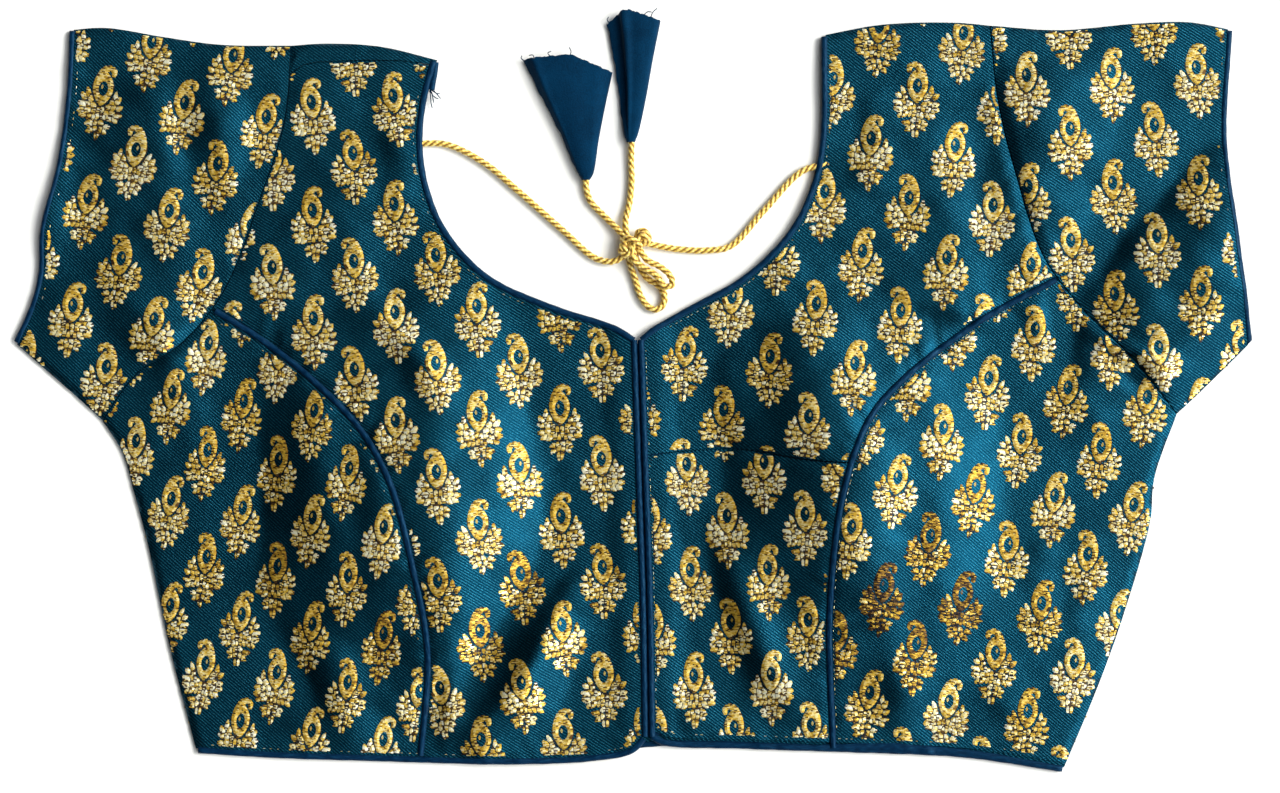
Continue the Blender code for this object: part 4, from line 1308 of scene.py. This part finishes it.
# %% [markdown]
# The hook strip is a straight band of the same satin under the opening. Only its two ends show.

# %% Hook strip
STRIP_HALF = 10.0
STRIP_LOW = 1.5
STRIP_WALL = 0.9
curve, normals, places = trimmed("opening", 2, 2)
across = np.linspace(-STRIP_HALF, STRIP_HALF, 5)
section = ([(offset, STRIP_LOW + STRIP_WALL) for offset in across[::-1]]
           + [(offset, STRIP_LOW) for offset in across])
points = np.array([[*(spot + normal * offset), height] for spot, normal in zip(curve, normals)
                   for offset, height in section])
underlap = add_piece("underlap_satin", points, tube_faces(len(places), len(section)), NAVY_SATIN)
add_map(underlap, "grain", points[:, :2])
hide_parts("underlap")

# %% [markdown]
# ## Tassels
# Each tassel is matte navy cotton folded into a cone, gathered on the cord and raw at the mouth.

# %% Navy cotton finish
NAVY_COTTON, tree = new_finish("navy_cotton", {"Roughness": 0.8, "Specular IOR Level": 0.15,
                                               "Specular Tint": (0.2, 0.75, 1.0, 1)})
place = place_of(tree)
weave = noise(tree, place, 1500.0)
both = number(tree, "ADD", weave, noise(tree, place, 90.0))
tint = ramp_of(tree, number(tree, "MULTIPLY", both, 0.5), [(0.35, (0.0003, 0.011, 0.034)),
                                                           (0.65, (0.0007, 0.024, 0.066))])
dress(tree, tint, weave, 0.5, 0.0003)

# %% Cones of folded cloth
# Sides run from the tip to the mouth. Columns: x, y. folds: share across, share along, width, height
TASSELS = {
    "tassel_left": {"near": [(-22.8, 97.6), (-24.9, 100.6), (-33, 119), (-42.5, 137.5), (-49.3, 151.2)],
                    "far": [(-19.6, 97.6), (-17.9, 100.2), (-15.3, 116), (-12.2, 132), (-9.2, 145.8)],
                    "mouth": [(-49.3, 151.2), (-46.5, 152.2), (-28, 153.8), (-9.2, 145.8)],
                    "folds": [(0.10, 0.8, 0.06, 0.8), (0.5, 0.5, 0.30, 0.9), (0.85, 0.7, 0.10, 0.4)],
                    "turned_under": (0.09, 1.3, 1.0)},
    "tassel_right": {"near": [(-2.7, 114.6), (-3.9, 117.5), (-6.6, 139), (-9.7, 158), (-11.7, 167.5)],
                     "far": [(0.8, 114.6), (2.2, 118), (5.6, 133), (9, 152), (12.4, 169)],
                     "mouth": [(-11.7, 167.5), (-4.9, 173.6), (-1.4, 173.8), (12.4, 169)],
                     "folds": [(0.36, 0.8, 0.08, 0.9), (0.7, 0.5, 0.25, 0.5), (0.95, 0.8, 0.1, 0.5)],
                     "turned_under": (0.30, 2.6, 0.4)},
}
TASSEL_WALL = 0.8
TASSEL_ROWS = 50
TASSEL_COLUMNS = 44


def at(curve, shares):
    along = lengths_along(curve)
    return read_at(curve, along, shares * along[-1])


def tassel(name):
    sides = TASSELS[name]
    near, far = (smooth_curve(sides[part], 0.5) for part in ("near", "far"))
    mouth = respace(np.array(sides["mouth"], float), 0.4)
    down = np.linspace(0, 1, TASSEL_ROWS)
    across = np.linspace(0, 1, TASSEL_COLUMNS)
    start, finish = at(near, down), at(far, down)
    plan = start[:, None, :] * (1 - across[None, :, None]) + finish[:, None, :] * across[None, :, None]
    bulge = at(mouth, across) - (mouth[0] + (mouth[-1] - mouth[0]) * across[:, None])
    plan += bulge[None, :, :] * (down[:, None, None] ** 5)
    plan[-1, :, 1] += 0.30 * wandering(across * 40, 3.1)
    plan[:, 0, 0] += 0.25 * wandering(down * 60, 9.0)
    puff = 4.4 + 1.2 * down[:, None] - 1.0 * np.abs(2 * across[None, :] - 1) ** 3
    for place, reach, width, height in sides["folds"]:
        ridge = np.exp(-((across[None, :] - place) / width) ** 2)
        puff = puff + height * ridge * np.clip(down[:, None] / reach, 0, 1)
    place, drop, reach = sides["turned_under"]
    puff = puff - drop * eased((place - across[None, :]) / 0.05) * eased(down[:, None] / reach)
    round_off = np.clip(1 - (2 * across - 1) ** 8, 0, 1)[None, :]
    low = 0.05
    middle = 1.5
    top = middle + (puff - middle) * round_off**0.5
    under = middle + (low - middle) * np.clip(round_off * 2.5, 0, 1) ** 0.5
    outer = np.concatenate([raised(plan, top)[:, ::-1], raised(plan, under)[:, 1:-1]], axis=1)
    centre = outer.mean(axis=1, keepdims=True)
    offset = outer - centre
    length = np.linalg.norm(offset, axis=2, keepdims=True)
    inner = centre + offset * np.maximum(0.15, 1 - TASSEL_WALL / np.maximum(length, 1e-6))
    inner[..., 2] = np.clip(inner[..., 2], low + TASSEL_WALL, np.maximum(outer[..., 2] - 0.6, low + 0.8))
    rings, around = outer.shape[:2]
    count = rings * around
    points = np.vstack([outer.reshape(-1, 3), inner.reshape(-1, 3)])
    wall = np.array(tube_faces(rings, around)[:-2])
    ring = np.arange(around)
    following = (ring + 1) % around
    tip = np.column_stack([ring, ring + count, following + count, following])
    last = (rings - 1) * around
    lip = np.column_stack([last + ring, last + following, last + following + count,
                           last + ring + count])
    faces = np.vstack([wall, wall[:, ::-1] + count, tip, lip]).tolist()
    made = add_piece(name + "_cotton", points, faces, NAVY_COTTON)
    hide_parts(name)
    return made


tassels = {name: tassel(name) for name in TASSELS}

# %% [markdown]
# The raw edges fray: a few dark threads stand out.

# %% Loose threads
# Columns of each route: x, y, z
THREADS = [
    [(-91.0, 138.6, 2.2), (-89.4, 137.6, 3.0), (-87.8, 135.8, 2.6), (-86.5, 134.2, 1.6)],
    [(-91.0, 138.2, 2.2), (-89.2, 137.0, 2.8), (-87.9, 136.4, 2.4), (-86.9, 136.6, 1.8)],
    [(-91.2, 138.0, 2.0), (-90.4, 136.2, 2.6), (-88.8, 134.6, 2.2), (-87.6, 134.2, 1.6)],
    [(-91.4, 137.8, 2.0), (-91.0, 135.6, 2.4), (-90.8, 132.6, 1.8), (-90.3, 130.0, 1.0)],
    [(-91.2, 138.0, 2.2), (-90.4, 136.8, 3.0), (-90.0, 134.8, 2.4), (-89.6, 132.4, 1.4)],
    [(-28.2, 153.4, 4.4), (-27.8, 155.2, 5.2), (-28.6, 156.9, 4.8)],
    [(-37.0, 152.9, 4.2), (-38.2, 154.4, 5.0), (-36.8, 155.2, 4.6)],
    [(-44.4, 152.2, 3.8), (-45.0, 153.6, 4.2), (-46.6, 153.4, 3.8)],
    [(-49.0, 151.2, 2.6), (-50.2, 152.2, 3.0), (-50.0, 153.4, 2.6)],
    [(8.0, 170.6, 4.4), (9.0, 172.8, 5.2), (10.8, 174.4, 4.8)],
    [(5.0, 171.6, 4.4), (6.6, 172.9, 4.8), (8.4, 172.8, 4.6)],
    [(-10.8, 168.3, 2.4), (-11.6, 169.6, 2.8), (-11.0, 170.8, 2.4)],
]
THREAD_RADIUS = 0.23
twisted("loose_threads", [smooth_curve(route, 0.5) for route in THREADS], 0, THREAD_RADIUS,
        finish=NAVY_COTTON)

# %% [markdown]
# ## The soft pieces
# The cords' solids are hidden, and each panel's flat size and area, as cut, are printed.

CORD_ENDS = {
    "dori_left": ("knot", [knot]),
    "dori_right": ("knot", [knot]),
    "bow_loop_long": ("object", []),
    "bow_loop_short": ("object", []),
    "tail_left": ("object", [tassels["tassel_left"]]),
    "tail_right": ("object", [tassels["tassel_right"]]),
}
for name, (far_end, pieces) in CORD_ENDS.items():
    piece, centre = cords[name]
    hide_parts(name)

for name, piece in panels.items():
    loops = [outlines[name]] + ([outlines["shoulder_turn"]] if name == "back" else [])
    layers = 2 if name.startswith("sleeve") else 1
    width, length = np.ptp(np.vstack(loops), axis=0) * MM
    width, area = width * layers, sum(plan_area(loop) for loop in loops) * MM * MM * layers
    print(name, "flat, mm:", round(width * 1000), "x", round(length * 1000), "area, cm2:",
          round(area * 10000))
